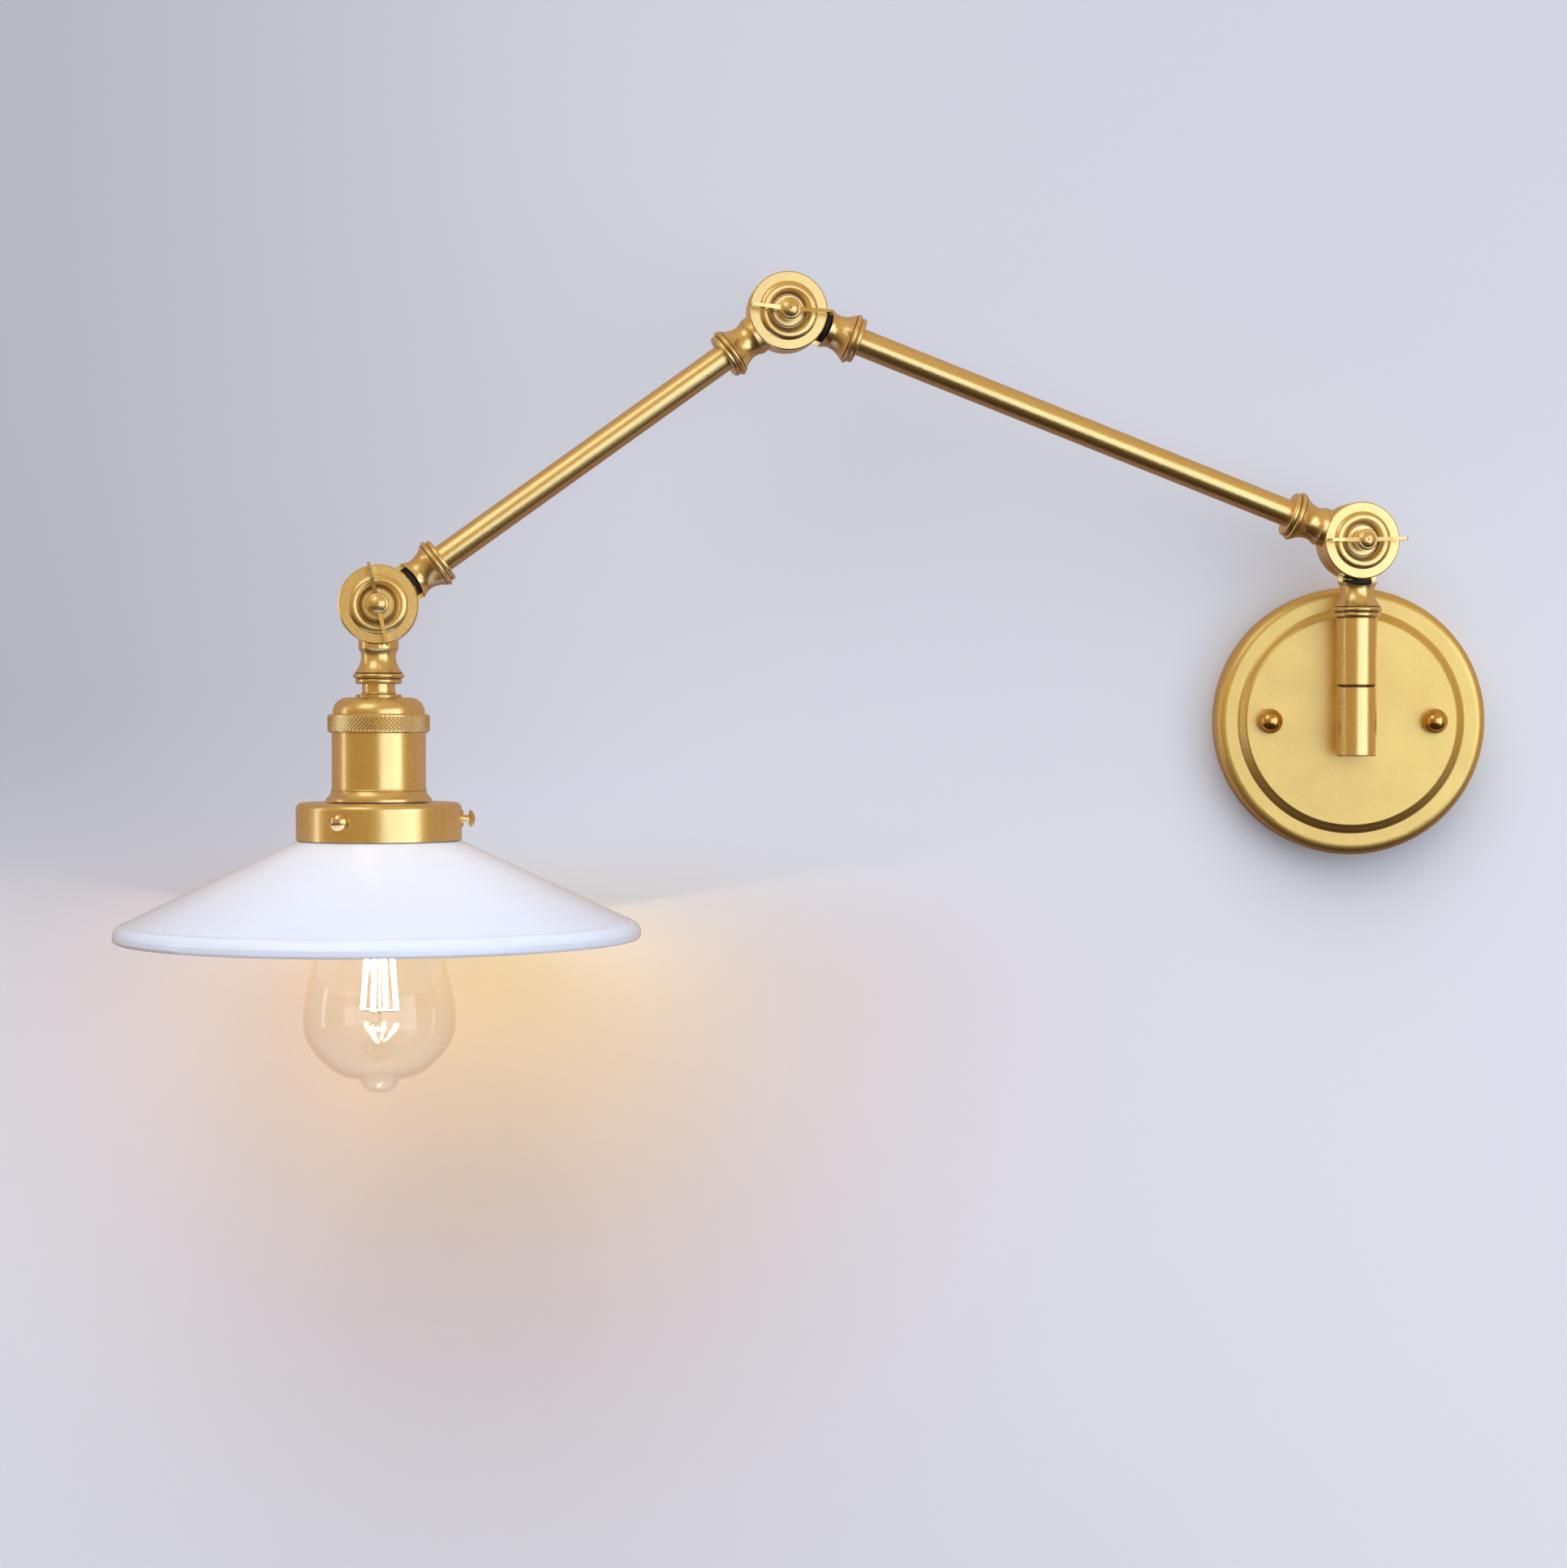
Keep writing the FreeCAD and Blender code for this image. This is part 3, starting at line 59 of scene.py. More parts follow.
head_axis = middle("glass_shade")          # the head hangs straight down at rest
filament_middle = middle("bulb_filaments")
ring_low, ring_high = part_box("knurled_ring")
ring_centre = middle("knurled_ring")
ring_radius = (ring_high[0] - ring_low[0]) / 2
ring_height = ring_high[2] - ring_low[2]
plate_low, plate_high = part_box("wall_plate")
plate_radius = (plate_high[0] - plate_low[0]) / 2


# ---- shader maths -----------------------------------------------------------------------
class Value:
    """A number or colour that runs along a link; arithmetic on it adds Math nodes."""

    def __init__(self, web, socket):
        self.web = web
        self.socket = socket

    def maths(self, operation, *others):
        return self.web.node("ShaderNodeMath", {"operation": operation}, *others)

    def __add__(self, other):
        return self.maths("ADD", self, other)

    __radd__ = __add__

    def __sub__(self, other):
        return self.maths("SUBTRACT", self, other)

    def __rsub__(self, other):
        return self.maths("SUBTRACT", other, self)

    def __mul__(self, other):
        return self.maths("MULTIPLY", self, other)

    __rmul__ = __mul__

    def __truediv__(self, other):
        return self.maths("DIVIDE", self, other)

    def __rtruediv__(self, other):
        return self.maths("DIVIDE", other, self)

    def __pow__(self, other):
        return self.maths("POWER", self, other)

    def whole(self, operation):
        """This number made whole, by ROUND or FLOOR."""
        return self.maths(operation, self)

    def limited(self):
        """This number kept between 0 and 1."""
        return self.web.node("ShaderNodeClamp", {}, self)

    def between(self, low, high):
        """0 below low, 1 above high, and a soft step from one to the other."""
        return self.web.node("ShaderNodeMapRange", {"interpolation_type": "SMOOTHSTEP"},
                             self, low, high)


class Web:
    """A node tree of either kind, written as expressions."""

    def __init__(self, tree):
        self.tree = tree

    def node(self, kind, settings, *values, out=0, **named):
        """Adds a node, sets it up, fills its sockets and returns one of its outputs."""
        node = self.tree.nodes.new(kind)
        for key, value in settings.items():
            if key == "stops":
                self.set_stops(node.color_ramp, value)
            else:
                setattr(node, key, value)
        for index, value in enumerate(values):
            self.fill(node.inputs[index], value)
        for key, value in named.items():
            self.fill(node.inputs[key.replace("_", " ")], value)
        return Value(self, node.outputs[out])

    def fill(self, socket, value):
        if isinstance(value, Value):
            self.tree.links.new(value.socket, socket)
        elif value is not None:
            socket.default_value = value

    def mixed(self, factor, first, second):
        """A blend of two colours, the second in full where the factor is 1."""
        node = self.tree.nodes.new("ShaderNodeMix")
        node.data_type = "RGBA"
        self.fill(node.inputs[0], factor)
        self.fill(node.inputs[6], first)
        self.fill(node.inputs[7], second)
        return Value(self, node.outputs[2])

    def set_stops(self, ramp, stops):
        while len(ramp.elements) < len(stops):
            ramp.elements.new(0.5)
        for element, (place, colour) in zip(ramp.elements, stops):
            element.position = place
            element.color = colour


class Paint(Web):
    """One material: its nodes, and the Principled shader that they feed."""

    def __init__(self, name):
        self.material = bpy.data.materials.new(name)
        self.material.use_nodes = True
        super().__init__(self.material.node_tree)
        self.shader = self.tree.nodes["Principled BSDF"]
        self.output = self.tree.nodes["Material Output"]

    def place(self):
        """Object coordinates, which are the frame's own."""
        return self.node("ShaderNodeTexCoord", {}, out=3)

    def stretched(self, vector, scale):
        """The coordinates scaled along each axis, so that a pattern runs in streaks."""
        return self.node("ShaderNodeMapping", {"vector_type": "POINT"}, vector, Scale=scale)

    def noise(self, vector, scale, detail=2.0, rough=0.5):
        return self.node("ShaderNodeTexNoise", {}, Vector=vector, Scale=scale, Detail=detail,
                         Roughness=rough)

    def cells(self, vector, scale):
        return self.node("ShaderNodeTexVoronoi", {}, Vector=vector, Scale=scale)

    def distance(self, vector, point):
        return self.node("ShaderNodeVectorMath", {"operation": "DISTANCE"}, vector, tuple(point),
                         out=1)

    def ramp(self, stops, along):
        """A colour from a row of (place, colour) stops."""
        return self.node("ShaderNodeValToRGB", {"stops": stops}, along)

    def bump(self, height, strength, distance):
        return self.node("ShaderNodeBump", {}, Height=height, Strength=strength,
                         Distance=distance)

    def set(self, **sockets):
        """Fills sockets of the Principled shader by name."""
        for key, value in sockets.items():
            self.fill(self.shader.inputs[key.replace("_", " ")], value)


def srgb(red, green, blue, alpha=1.0):
    """A colour as a screen shows it, 0 to 255, turned into the renderer's linear values."""
    def linear(value):
        value /= 255
        return value / 12.92 if value <= 0.04045 else ((value + 0.055) / 1.055) ** 2.4
    return (linear(red), linear(green), linear(blue), alpha)


# ---- finishes ---------------------------------------------------------------------------
gold_light = srgb(250, 221, 134)
gold_deep = srgb(242, 199, 106)
bright_flake = srgb(253, 238, 190)
dark_flake = srgb(206, 150, 64)
# painted shade: the brown laid into grooves and recesses
groove_shade_brown = srgb(112, 66, 20)
# painted shade: the brown for faces turned downward
underside_shade_brown = srgb(112, 62, 16)
dull_metal = srgb(142, 140, 136)


def lacquered_gold(name, light, deep, roughness, coat, pocket=0.007):
    """Satin gold lacquer: metallic flakes, soft mottling, painted shade in the grooves and on the
    undersides.

    pocket is how far apart the walls of a groove may stand, in metres, and still get painted
    shade.
    """
    paint = Paint(name)
    place = paint.place()
    mottle = paint.noise(place, 45.0, 3.0, 0.55)
    flakes = paint.noise(place, 1300.0, 2.0, 0.6)
    orange_peel = paint.noise(place, 380.0, 2.0, 0.5)
    # painted shade: where the walls of a groove stand close, the colour goes towards brown
    grooves = paint.node("ShaderNodeAmbientOcclusion", {"samples": 8, "only_local": True},
                         Distance=pocket, out=1)
    painted_groove_shade = (1 - grooves).between(0.08, 0.9)
    base = paint.mixed(mottle.between(0.3, 0.7) * 0.35, light, deep)
    base = paint.mixed(flakes.between(0.5, 0.7) * 0.25, base, bright_flake)
    base = paint.mixed((1 - flakes.between(0.3, 0.5)) * 0.12, base, dark_flake)
    base = paint.mixed(painted_groove_shade * 0.8, base, groove_shade_brown)
    # painted shade: faces turned downward are darkened towards brown
    upward = paint.node("ShaderNodeSeparateXYZ", {},
                        paint.node("ShaderNodeTexCoord", {}, out=1), out=2)
    base = paint.mixed((-1 * upward).between(0.15, 0.85) * 0.75, base, underside_shade_brown)
    rough = roughness + 0.10 * (mottle - 0.5) + 0.16 * (flakes - 0.5)
    height = flakes * 0.35 + orange_peel * 0.65
    normal = paint.bump(height, 0.2, 0.0004)
    paint.set(Base_Color=base, Roughness=rough.limited(), Normal=normal, Metallic=0.94,
              Coat_Weight=coat, Coat_Roughness=0.2, Coat_IOR=2.2)
    return paint.material


def polished_gold(name, light, deep):
    """Bright plated fasteners, nearly mirror-like with faint turning marks."""
    paint = Paint(name)
    place = paint.place()
    marks = paint.noise(place, 1400.0, 2.0, 0.6)
    stain = paint.noise(place, 160.0, 2.0, 0.5)
    base = paint.mixed(stain.between(0.4, 0.7) * 0.5, light, deep)
    paint.set(Base_Color=base, Roughness=0.13 + 0.10 * stain,
              Normal=paint.bump(marks, 0.05, 0.0002), Metallic=1.0)
    return paint.material


def plated_steel(name, colour, roughness):
    """Zinc or nickel plate with a faint crystal pattern and rolled streaks."""
    paint = Paint(name)
    place = paint.place()
    spangle = paint.cells(place, 700.0)
    streaks = paint.noise(paint.stretched(place, (1, 1, 14)), 260.0, 2.0, 0.6)
    base = paint.mixed(streaks.between(0.35, 0.7) * 0.5, colour, dull_metal)
    rough = roughness + 0.12 * (streaks - 0.4) + 0.05 * spangle
    paint.set(Base_Color=base, Roughness=rough.limited(),
              Normal=paint.bump(streaks, 0.08, 0.0002), Metallic=1.0)
    return paint.material


def opal_glass():
    """Milk-white pressed glass, cool white, with a painted warm tint and a faint painted glow near
    the bulb.
    """
    paint = Paint("opal_glass")
    place = paint.place()
    waves = paint.noise(place, 26.0, 2.0, 0.5)
    seeds = paint.noise(place, 700.0, 1.0, 0.5)
    # painted light: warm tint and faint glow near the light sticks, as if lit from inside
    near = 1 - paint.distance(place, filament_middle).between(0.02, 0.115)
    cool = paint.mixed(waves.between(0.35, 0.65) * 0.4, srgb(227, 234, 251), srgb(223, 230, 249))
    base = paint.mixed(near * 0.25, cool, srgb(255, 244, 224))
    painted_glow = paint.mixed(near, (0, 0, 0, 1), (1.0, 0.78, 0.5, 1))
    rough = 0.2 + 0.06 * (waves - 0.5)
    paint.set(Base_Color=base, Roughness=rough, Emission_Color=painted_glow,
              Normal=paint.bump(waves + seeds * 0.1, 0.05, 0.001),
              Emission_Strength=0.03, Coat_Weight=0.3, Coat_Roughness=0.08, IOR=1.5,
              Subsurface_Weight=0.35, Subsurface_Scale=0.006, Subsurface_Radius=(1.0, 0.95, 0.9))
    return paint.material


def thin_glass(name):
    """Clear thin glass: a mirror whose cover follows the reflection of glass at each angle, with a
    painted warm tint and glow near the light sticks.
    """
    paint = Paint(name)
    place = paint.place()
    facing = paint.node("ShaderNodeLayerWeight", {}, Blend=0.35, out=1)
    ripples = paint.noise(paint.stretched(place, (1, 1, 3)), 60.0, 2.0, 0.5)
    cover = 0.05 + 0.40 * facing ** 3.0
    # painted light: the glass is tinted warm and glows near the light sticks
    near = 1 - paint.distance(place, filament_middle).between(0.018, 0.062)
    tint = paint.mixed(near, srgb(214, 228, 255), srgb(236, 236, 236))
    painted_glow = paint.mixed(near, (0, 0, 0, 1), (1.0, 0.80, 0.42, 1))
    paint.set(Base_Color=tint, Alpha=cover.limited(), Emission_Color=painted_glow,
              Normal=paint.bump(ripples, 0.05, 0.002), Emission_Strength=0.35,
              Metallic=1.0, Roughness=0.015)
    return paint.material


def light_stick():
    """Phosphor-coated light sticks, far brighter than white."""
    paint = Paint("light_stick")
    place = paint.place()
    coat = paint.noise(place, 900.0, 2.0, 0.5)
    colour = paint.mixed(coat, (1.0, 0.80, 0.46, 1), (1.0, 0.70, 0.34, 1))
    paint.set(Base_Color=srgb(255, 214, 120), Emission_Color=colour, Emission_Strength=38.0,
              Roughness=0.5)
    return paint.material


def moulded(name, colour, shade, roughness):
    """Moulded or pressed non-metal: fine mottling in colour, gloss and surface."""
    paint = Paint(name)
    place = paint.place()
    cloud = paint.noise(place, 120.0, 3.0, 0.6)
    grain = paint.noise(place, 900.0, 2.0, 0.6)
    base = paint.mixed(cloud.between(0.35, 0.7) * 0.6, colour, shade)
    paint.set(Base_Color=base, Roughness=(roughness + 0.15 * (cloud - 0.5)).limited(),
              Normal=paint.bump(grain, 0.25, 0.0002))
    return paint.material


finishes = {
    "arms": lacquered_gold("arm_gold", gold_light, gold_deep, 0.30, 1.0),
    "plate": lacquered_gold("plate_gold", srgb(241, 212, 123), srgb(230, 195, 104), 0.40, 0.4),
    "grip": lacquered_gold("grip_gold", gold_light, gold_deep, 0.26, 1.0, 0.0009),
    "polished": polished_gold("polished_gold", srgb(236, 200, 122), srgb(190, 146, 70)),
    "bright": polished_gold("bright_brass", srgb(250, 232, 178), srgb(226, 196, 128)),
    "zinc": plated_steel("zinc_plate", srgb(196, 197, 198), 0.32),
    "nickel": plated_steel("nickel_plate", srgb(214, 212, 206), 0.18),
    "contact": plated_steel("contact_brass", srgb(214, 178, 104), 0.25),
    "opal": opal_glass(),
    "clear": thin_glass("clear_glass"),
    "stem": thin_glass("stem_glass"),
    "stick": light_stick(),
    "ceramic": moulded("socket_ceramic", srgb(236, 233, 226), srgb(220, 214, 204), 0.5),
    "block": moulded("block_plastic", srgb(226, 226, 222), srgb(206, 206, 202), 0.42),
    "fibre": moulded("washer_fibre", srgb(34, 32, 32), srgb(20, 19, 20), 0.7),
    "cable": moulded("wire_sleeve", srgb(44, 44, 46), srgb(28, 28, 30), 0.55),
}
finish_of = {
    "plate": ["wall_plate"],
    "polished": ["ball_nuts"],
    "bright": ["shade_screw_1", "shade_screw_2", "shade_screw_3"],
    "zinc": ["mounting_strap", "strap_studs", "stud_lock_nuts", "earth_screw", "stub_nipple",
             "nipple_washer", "nipple_lock_nut", "swivel_pin", "swivel_nut", "post_top_nipple",
             "hinge_nut_1", "hinge_nut_2", "hinge_nut_3", "neck_nipple", "neck_nut",
             "filament_frame"],
    "nickel": ["screw_shell", "bulb_base"],
    "contact": ["centre_contact"],
    "opal": ["glass_shade"],
    "clear": ["bulb_glass"],
    "stem": ["bulb_stem"],
    "stick": ["bulb_filaments"],
    "ceramic": ["holder_insulator", "fitter_ring_nut"],
    "block": ["terminal_block"],
    "fibre": ["thrust_washer", "friction_washer_1", "friction_washer_2", "friction_washer_3"],
    "cable": ["supply_leads", "post_lead", "arm_1_lead", "arm_2_lead", "head_lead"],
}


def finish_nodes():
    """Gives each node its finish; what is not listed is gold lacquer like the arms."""
    chosen = {name: key for key, names in finish_of.items() for name in names}
    for name, piece in nodes.items():
        piece.data.materials.clear()
        piece.data.materials.append(finishes[chosen.get(name, "arms")])


# ---- knurled ring -----------------------------------------------------------------------
tooth_height = 0.0006
knurl = {                              # the inputs of the node tree, in metres
    "Radius": ring_radius - tooth_height,
    "Pitch": 0.00175,                  # between teeth of one row
    "Band": 0.0068,                    # height that the teeth cover
    "Tooth": tooth_height,
}
ring_wall = 0.0021                     # from the bore to the tips of the teeth
ring_edge = 0.0006                     # chamfer
ring_steps = 148


def lathe(name, outline, centre, steps):
    """A closed ring turned about an upright axis from (radius, height) points."""
    made = bmesh.new()
    turns = []
    for step in range(steps):
        angle = 2 * math.pi * step / steps
        way = Vector((math.cos(angle), math.sin(angle), 0))
        turns.append([made.verts.new(way * radius + Vector((0, 0, height)))
                      for radius, height in outline])
    for step in range(steps):
        here, after = turns[step], turns[(step + 1) % steps]
        for index in range(len(outline)):
            follow = (index + 1) % len(outline)
            made.faces.new((here[index], after[index], after[follow], here[follow]))
    bmesh.ops.recalc_face_normals(made, faces=made.faces)
    mesh = bpy.data.meshes.new(name)
    made.to_mesh(mesh)
    made.free()
    piece = bpy.data.objects.new(name, mesh)
    piece.location = centre
    bpy.context.scene.collection.objects.link(piece)
    return piece


def knurl_tree(material):
    """Diamond teeth in staggered rows round an upright ring, joined to the ring's body."""
    tree = bpy.data.node_groups.new("diamond_knurl", "GeometryNodeTree")
    tree.interface.new_socket(name="Body", in_out="INPUT", socket_type="NodeSocketGeometry")
    for label in knurl:
        tree.interface.new_socket(name=label, in_out="INPUT", socket_type="NodeSocketFloat")
    tree.interface.new_socket(name="Ring", in_out="OUTPUT", socket_type="NodeSocketGeometry")
    web = Web(tree)
    given = tree.nodes.new("NodeGroupInput")
    body, radius, pitch, band, tooth = [Value(web, given.outputs[index]) for index in range(5)]
    round_count = (radius * (2 * math.pi) / pitch).whole("ROUND")
    turn = (2 * math.pi) / round_count
    rows = (band / pitch * 2.0).whole("FLOOR")
    spacing = pitch * 0.5
    grid = web.node("GeometryNodeMeshGrid", {}, 1.0, 1.0, round_count, rows)
    index = web.node("GeometryNodeInputIndex", {})
    row = index.maths("MODULO", index, rows)
    column = (index / rows).whole("FLOOR")
    angle = (column + 0.5 * row.maths("MODULO", row, 2.0)) * turn
    height = (row - (rows - 1) * 0.5) * spacing
    cosine = angle.maths("COSINE", angle)
    sine = angle.maths("SINE", angle)
    place = web.node("ShaderNodeCombineXYZ", {}, cosine * radius, sine * radius, height)
    spots = web.node("GeometryNodeSetPosition", {}, grid, None, place)
    pyramid = web.node("GeometryNodeMeshCone", {"fill_type": "NGON"}, 4, 1, 1, 0.0,
                       spacing * 1.04, tooth)
    facing = web.node("ShaderNodeCombineXYZ", {}, 0.0, math.pi / 2, angle)
    teeth = web.node("GeometryNodeInstanceOnPoints", {}, Points=spots, Instance=pyramid,
                     Rotation=facing)
    real = web.node("GeometryNodeRealizeInstances", {}, teeth)
    joined = tree.nodes.new("GeometryNodeJoinGeometry")
    tree.links.new(body.socket, joined.inputs[0])
    tree.links.new(real.socket, joined.inputs[0])
    finished = web.node("GeometryNodeSetMaterial", {}, Value(web, joined.outputs[0]), None,
                        material)
    result = tree.nodes.new("NodeGroupOutput")
    tree.links.new(finished.socket, result.inputs[0])
    return tree


def settled(piece):
    """The piece as a plain mesh with its modifiers worked in and its place in the mesh."""
    drawn = piece.evaluated_get(bpy.context.evaluated_depsgraph_get())
    mesh = bpy.data.meshes.new_from_object(drawn)
    mesh.transform(piece.matrix_basis)
    piece.modifiers.clear()
    piece.data = mesh
    piece.matrix_basis = Matrix()
    return piece


def knurled_ring():
    """The grip ring: a turned body with two smooth edges and diamond teeth between them."""
    bore = ring_radius - ring_wall
    half = ring_height / 2
    edge = ring_edge
    outer = knurl["Radius"]
    outline = [(bore, -half), (outer - edge, -half), (outer, -half + edge),
               (outer, half - edge), (outer - edge, half), (bore, half)]
    ring = lathe("knurled_grip", outline, ring_centre, ring_steps)
    tree = knurl_tree(finishes["grip"])
    modifier = ring.modifiers.new("knurl", "NODES")
    modifier.node_group = tree
    for item in tree.interface.items_tree:
        if item.name in knurl:
            modifier[item.identifier] = knurl[item.name]
    settled(ring)
    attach(ring, "lamp_head")
    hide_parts("knurled_ring")


# ---- bushes in the hinges' necks --------------------------------------------------------
bush_bore = 0.0027                     # radius
bush_rim = 0.0062                      # radius
bush_near = 0.0171                     # from the hinge's axis
bush_far = 0.0187


def neck_bushes():
    """Black bush round the wire where each rear half's neck stands open to its disc."""
    outline = [(bush_bore, bush_near), (bush_rim, bush_near), (bush_rim, bush_far),
               (bush_bore, bush_far)]
    shoulder, elbow, head = [Vector(joint["pos_m"]) for joint in frame["joints"]
                             if joint["name"] in ("shoulder_hinge", "elbow_hinge", "head_tilt")]
    necks = [("shoulder_bush", shoulder, Vector((0, 0, -1)), "swivel_post"),
             ("elbow_bush", elbow, shoulder - elbow, "lower_arm"),
             ("head_bush", head, elbow - head, "upper_arm")]
    for name, hinge, toward, body in necks:
        bush = lathe(name, outline, hinge, 64)
        bush.rotation_mode = "QUATERNION"
        bush.rotation_quaternion = toward.to_track_quat("Z", "Y")
        bpy.context.view_layer.update()
        settled(bush)
        bush.data.materials.append(finishes["fibre"])
        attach(bush, body)


# ---- stage ------------------------------------------------------------------------------
wall_colour = srgb(221, 221, 228)
# painted light: the lighter colour of the wall's lower part
wall_low_painted_light = srgb(235, 235, 241)
wall_patch_colour = srgb(218, 215, 221)
# painted shade: the darker wall colour up and to the left
wall_painted_shade_colour = srgb(196, 195, 200)
wall_in_metal = srgb(180, 132, 82)     # what glossy surfaces see of it
wall_reach = 6.0
wall_opening = plate_radius * 0.97
wall_steps = 64
wall_back = Vector((0, 0.0004, 0))     # keeps it clear of the plate's back face
# painted light and shadow: a pool of warm bulb light with the shade's shadow, laid into the wall's
# colour
painted_pool_middle = (head_axis[0] + 0.04, 0, filament_middle[2])
painted_pool_stops = [                         # by twice the distance from the pool's middle
    (0.0, srgb(232, 218, 186)), (0.15, srgb(230, 214, 198)), (0.40, srgb(228, 215, 219)),
    (0.75, srgb(232, 228, 235))]


def wall_paint():
    """Matt paint, with painted shade up and to the left, painted light towards the bottom, and a
    painted pool of warm bulb light with the shade's shadow round the bulb.
    """
    paint = Paint("wall_paint")
    place = paint.place()
    patches = paint.noise(place, 2.2, 1.0, 0.5)
    across = paint.node("ShaderNodeSeparateXYZ", {}, place, out=0)
    height = paint.node("ShaderNodeSeparateXYZ", {}, place, out=2)
    # painted light: the wall grows lighter towards the bottom
    base = paint.mixed(height.between(-0.16, 0.20), wall_low_painted_light, wall_colour)
    base = paint.mixed(patches.between(0.3, 0.7) * 0.3, base, wall_patch_colour)
    # painted shade: the wall is darkened up and to the left
    left = (1 - across.between(-0.64, -0.24)) * height.between(-0.16, 0.02)
    base = paint.mixed(left, base, wall_painted_shade_colour)
    # painted light and shadow: warm pool of bulb light and the shade's shadow, only below the
    # shade's rim
    from_bulb = paint.distance(place, painted_pool_middle)
    lit = paint.ramp(painted_pool_stops, from_bulb * 2.0)
    below = 1 - height.between(-0.13, -0.03)
    base = paint.mixed((1 - from_bulb.between(0.05, 0.38)) * below, base, lit)
    glossy_ray = paint.node("ShaderNodeLightPath", {}, out=3)
    base = paint.mixed(glossy_ray * 0.8, base, wall_in_metal)
    paint.set(Base_Color=base, Roughness=0.85, Specular_IOR_Level=0.2)
    # the wall's back is clear to the camera, so that a view from behind shows the lamp
    behind = paint.node("ShaderNodeNewGeometry", {}, out=6)
    camera_ray = paint.node("ShaderNodeLightPath", {}, out=0)
    clear = paint.node("ShaderNodeBsdfTransparent", {})
    shown = paint.node("ShaderNodeMixShader", {}, behind * camera_ray,
                       Value(paint, paint.shader.outputs[0]), clear)
    paint.tree.links.new(shown.socket, paint.output.inputs[0])
    return paint.material


def wall():
    """The wall behind the lamp, open behind the plate as at a real wall box."""
    made = bmesh.new()
    inner = []
    outer = []
    for index in range(wall_steps):
        angle = 2 * math.pi * index / wall_steps
        way = Vector((math.cos(angle), 0, math.sin(angle)))
        inner.append(made.verts.new(way * wall_opening + wall_back))
        outer.append(made.verts.new(way * wall_reach + wall_back))
    for index in range(wall_steps):
        after = (index + 1) % wall_steps
        made.faces.new((inner[index], outer[index], outer[after], inner[after]))
    mesh = bpy.data.meshes.new("backdrop_wall")
    made.to_mesh(mesh)
    made.free()
    mesh.materials.append(wall_paint())
    piece = bpy.data.objects.new("backdrop_wall", mesh)
    bpy.context.scene.collection.objects.link(piece)
    return piece


def softbox(name, place, target, width, height, power, colour):
    """A rectangular light at a place, aimed at a target; power in watts."""
    light = bpy.data.lights.new(name, "AREA")
    light.shape = "RECTANGLE"
    light.size = width
    light.size_y = height
    light.energy = power
    light.color = colour
    lamp = bpy.data.objects.new(name, light)
    lamp.location = place
    aim = Vector(target) - Vector(place)
    lamp.rotation_mode = "QUATERNION"
    lamp.rotation_quaternion = aim.to_track_quat("-Z", "Y")
    bpy.context.scene.collection.objects.link(lamp)
    return lamp


def bulb_light():
    """The light that the sticks give, as a small warm lamp in the bulb that moves with it."""
    light = bpy.data.lights.new("bulb_light", "POINT")
    light.energy = 0.22
    light.color = (1.0, 0.71, 0.36)
    light.shadow_soft_size = 0.003
    lamp = bpy.data.objects.new("bulb_light", light)
    lamp.location = filament_middle + Vector((0, 0, -0.012))
    bpy.context.scene.collection.objects.link(lamp)
    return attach(lamp, "lamp_head")


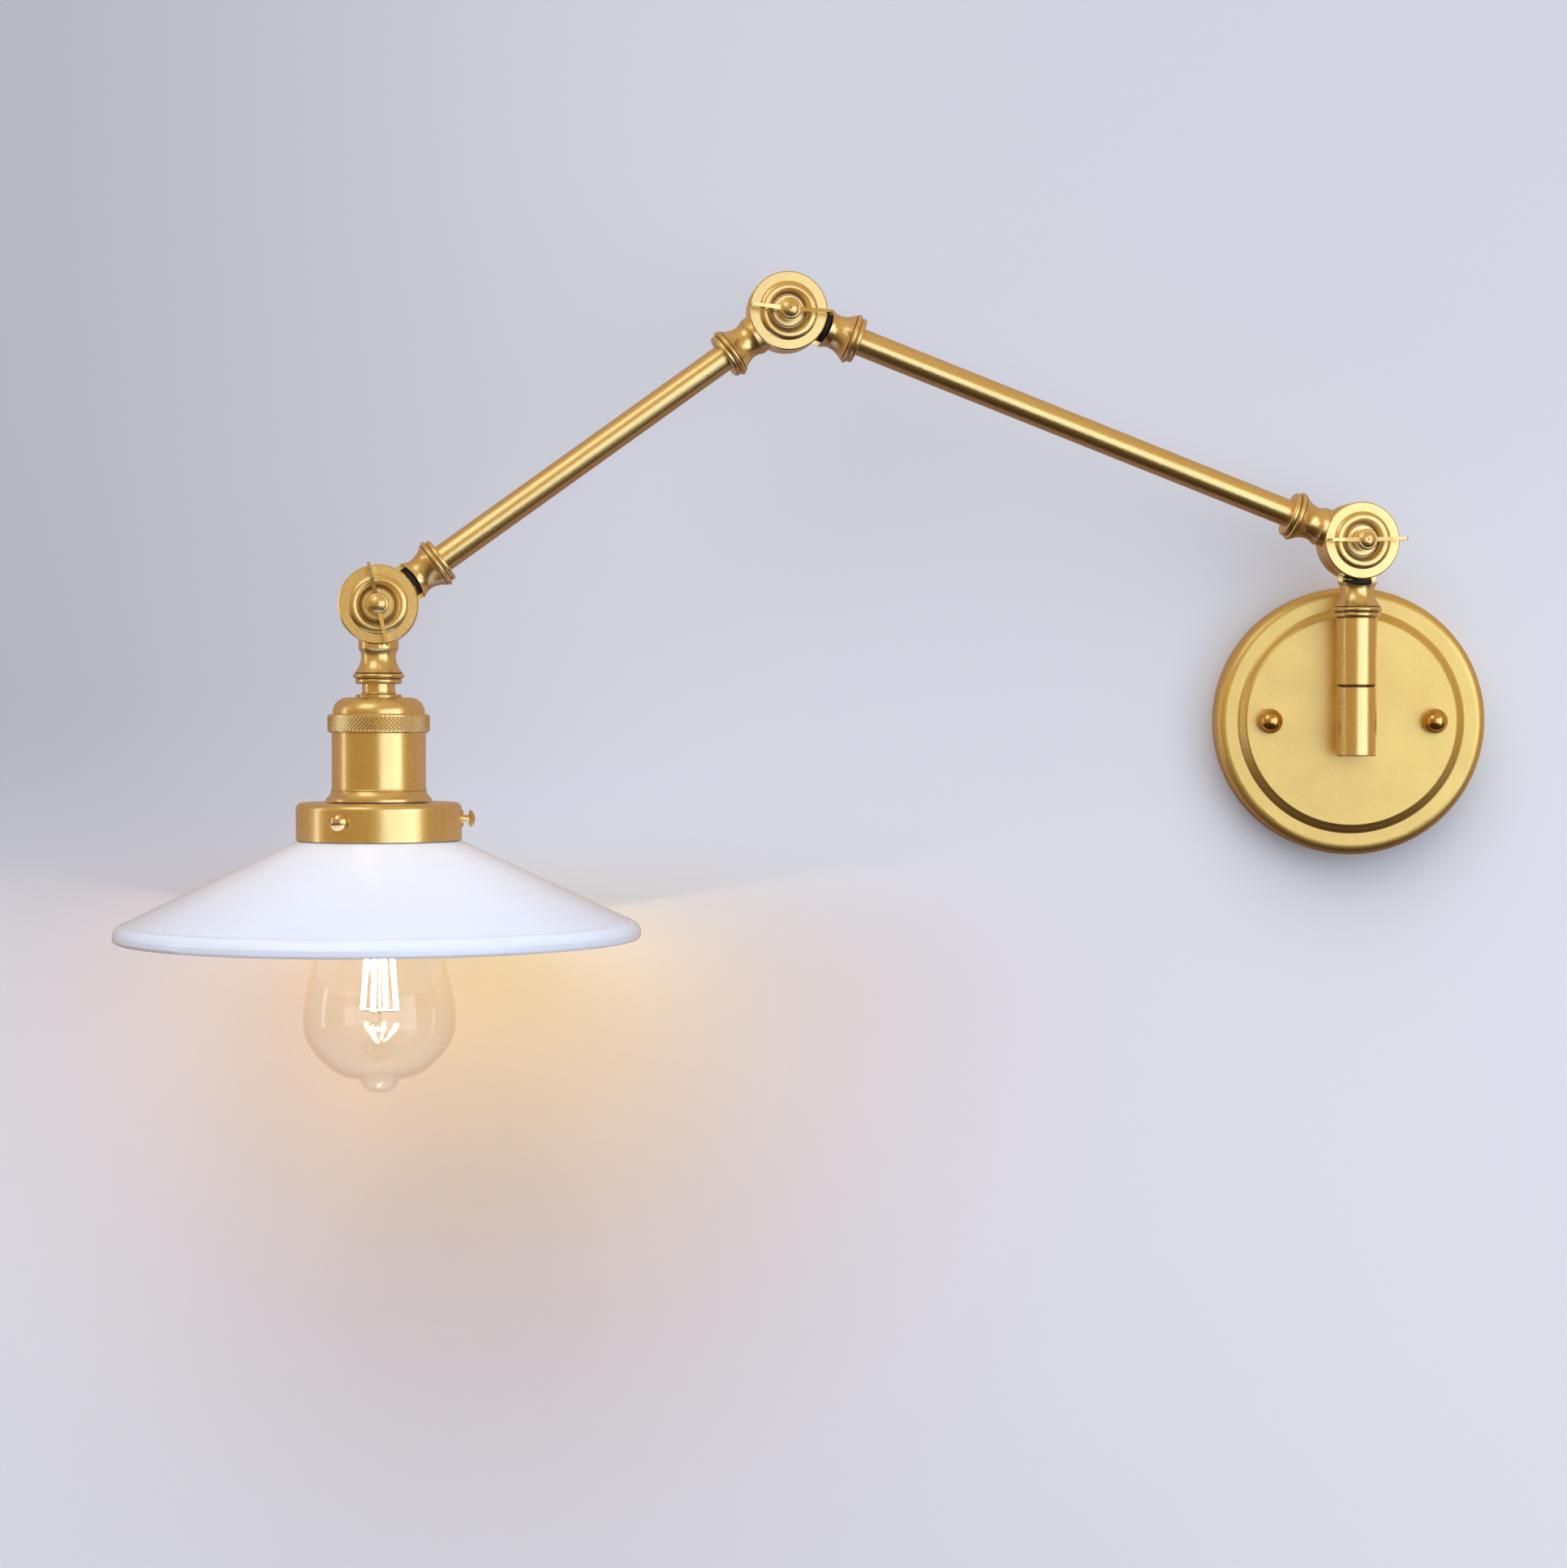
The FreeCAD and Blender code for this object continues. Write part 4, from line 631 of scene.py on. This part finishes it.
def room_light():
    """Soft light all round; polished pieces see a dim warm room, darker towards the floor."""
    world = bpy.data.worlds.new("room")
    world.use_nodes = True
    web = Web(world.node_tree)
    background = web.tree.nodes["Background"]
    upward = web.node("ShaderNodeSeparateXYZ", {}, web.node("ShaderNodeTexCoord", {}), out=2)
    height = upward * 0.5 + 0.5
    from_above = web.node("ShaderNodeVectorMath", {"operation": "DOT_PRODUCT"},
                          web.node("ShaderNodeTexCoord", {}), (0.0, -0.5, 0.866), out=1)
    dome = from_above.maths("MAXIMUM", from_above, 0.0) ** 5.0
    soft = web.mixed(dome, (0.36, 0.345, 0.355, 1), (2.55, 2.55, 2.62, 1))
    warm = web.node("ShaderNodeValToRGB", {"stops": [
        (0.0, (0.05, 0.021, 0.007, 1)), (0.30, (0.08, 0.035, 0.011, 1)),
        (0.46, (0.44, 0.258, 0.088, 1)), (1.0, (0.54, 0.36, 0.16, 1))]}, height)
    seen = web.node("ShaderNodeLightPath", {}, out=0)
    glossy = web.node("ShaderNodeLightPath", {}, out=3)
    plain = web.mixed(seen, soft, (0.68, 0.67, 0.75, 1))
    web.fill(background.inputs["Color"], web.mixed(glossy, plain, warm))
    background.inputs["Strength"].default_value = 1.0
    bpy.context.scene.world = world


def camera():
    """The photograph's camera, fitted to hinges, plate and shade rim."""
    photo_width, photo_height = 1931, 1932
    focal_pixels = 3706.1
    yaw = math.radians(3.272)          # to the left
    pitch = math.radians(1.314)        # down
    data = bpy.data.cameras.new("photo_camera")
    data.sensor_width = 36.0
    data.lens = focal_pixels * data.sensor_width / max(photo_width, photo_height)
    data.clip_start = 0.05
    data.clip_end = 50.0
    view = bpy.data.objects.new("photo_camera", data)
    view.location = (-0.1748, -1.3647, 0.0027)
    view.rotation_euler = (math.pi / 2 - pitch, 0, yaw)
    bpy.context.scene.collection.objects.link(view)
    bpy.context.scene.camera = view


finish_nodes()
knurled_ring()
neck_bushes()
wall()
softbox("key_softbox", (0.30, -1.01, 0.05), (-0.44, -0.35, 0.03), 1.17, 0.80, 3.6,
            (0.69, 0.86, 1.0))
softbox("edge_softbox", (0.74, -0.78, 0.0), (-0.35, -0.1, 0.03), 0.40, 1.40, 0.9,
            (0.80, 0.88, 1.0))
softbox("top_softbox", (-0.80, -0.90, 0.88), (-0.33, -0.09, 0.08), 0.70, 0.70, 1.5,
            (0.78, 0.90, 1.0))
softbox("side_softbox", (-1.5, -0.24, 0.10), (-0.35, -0.1, 0.0), 0.13, 0.8, 0.6,
            (0.82, 0.92, 1.0))
bulb_light()
room_light()
camera()
bpy.context.scene.view_settings.view_transform = "Standard"
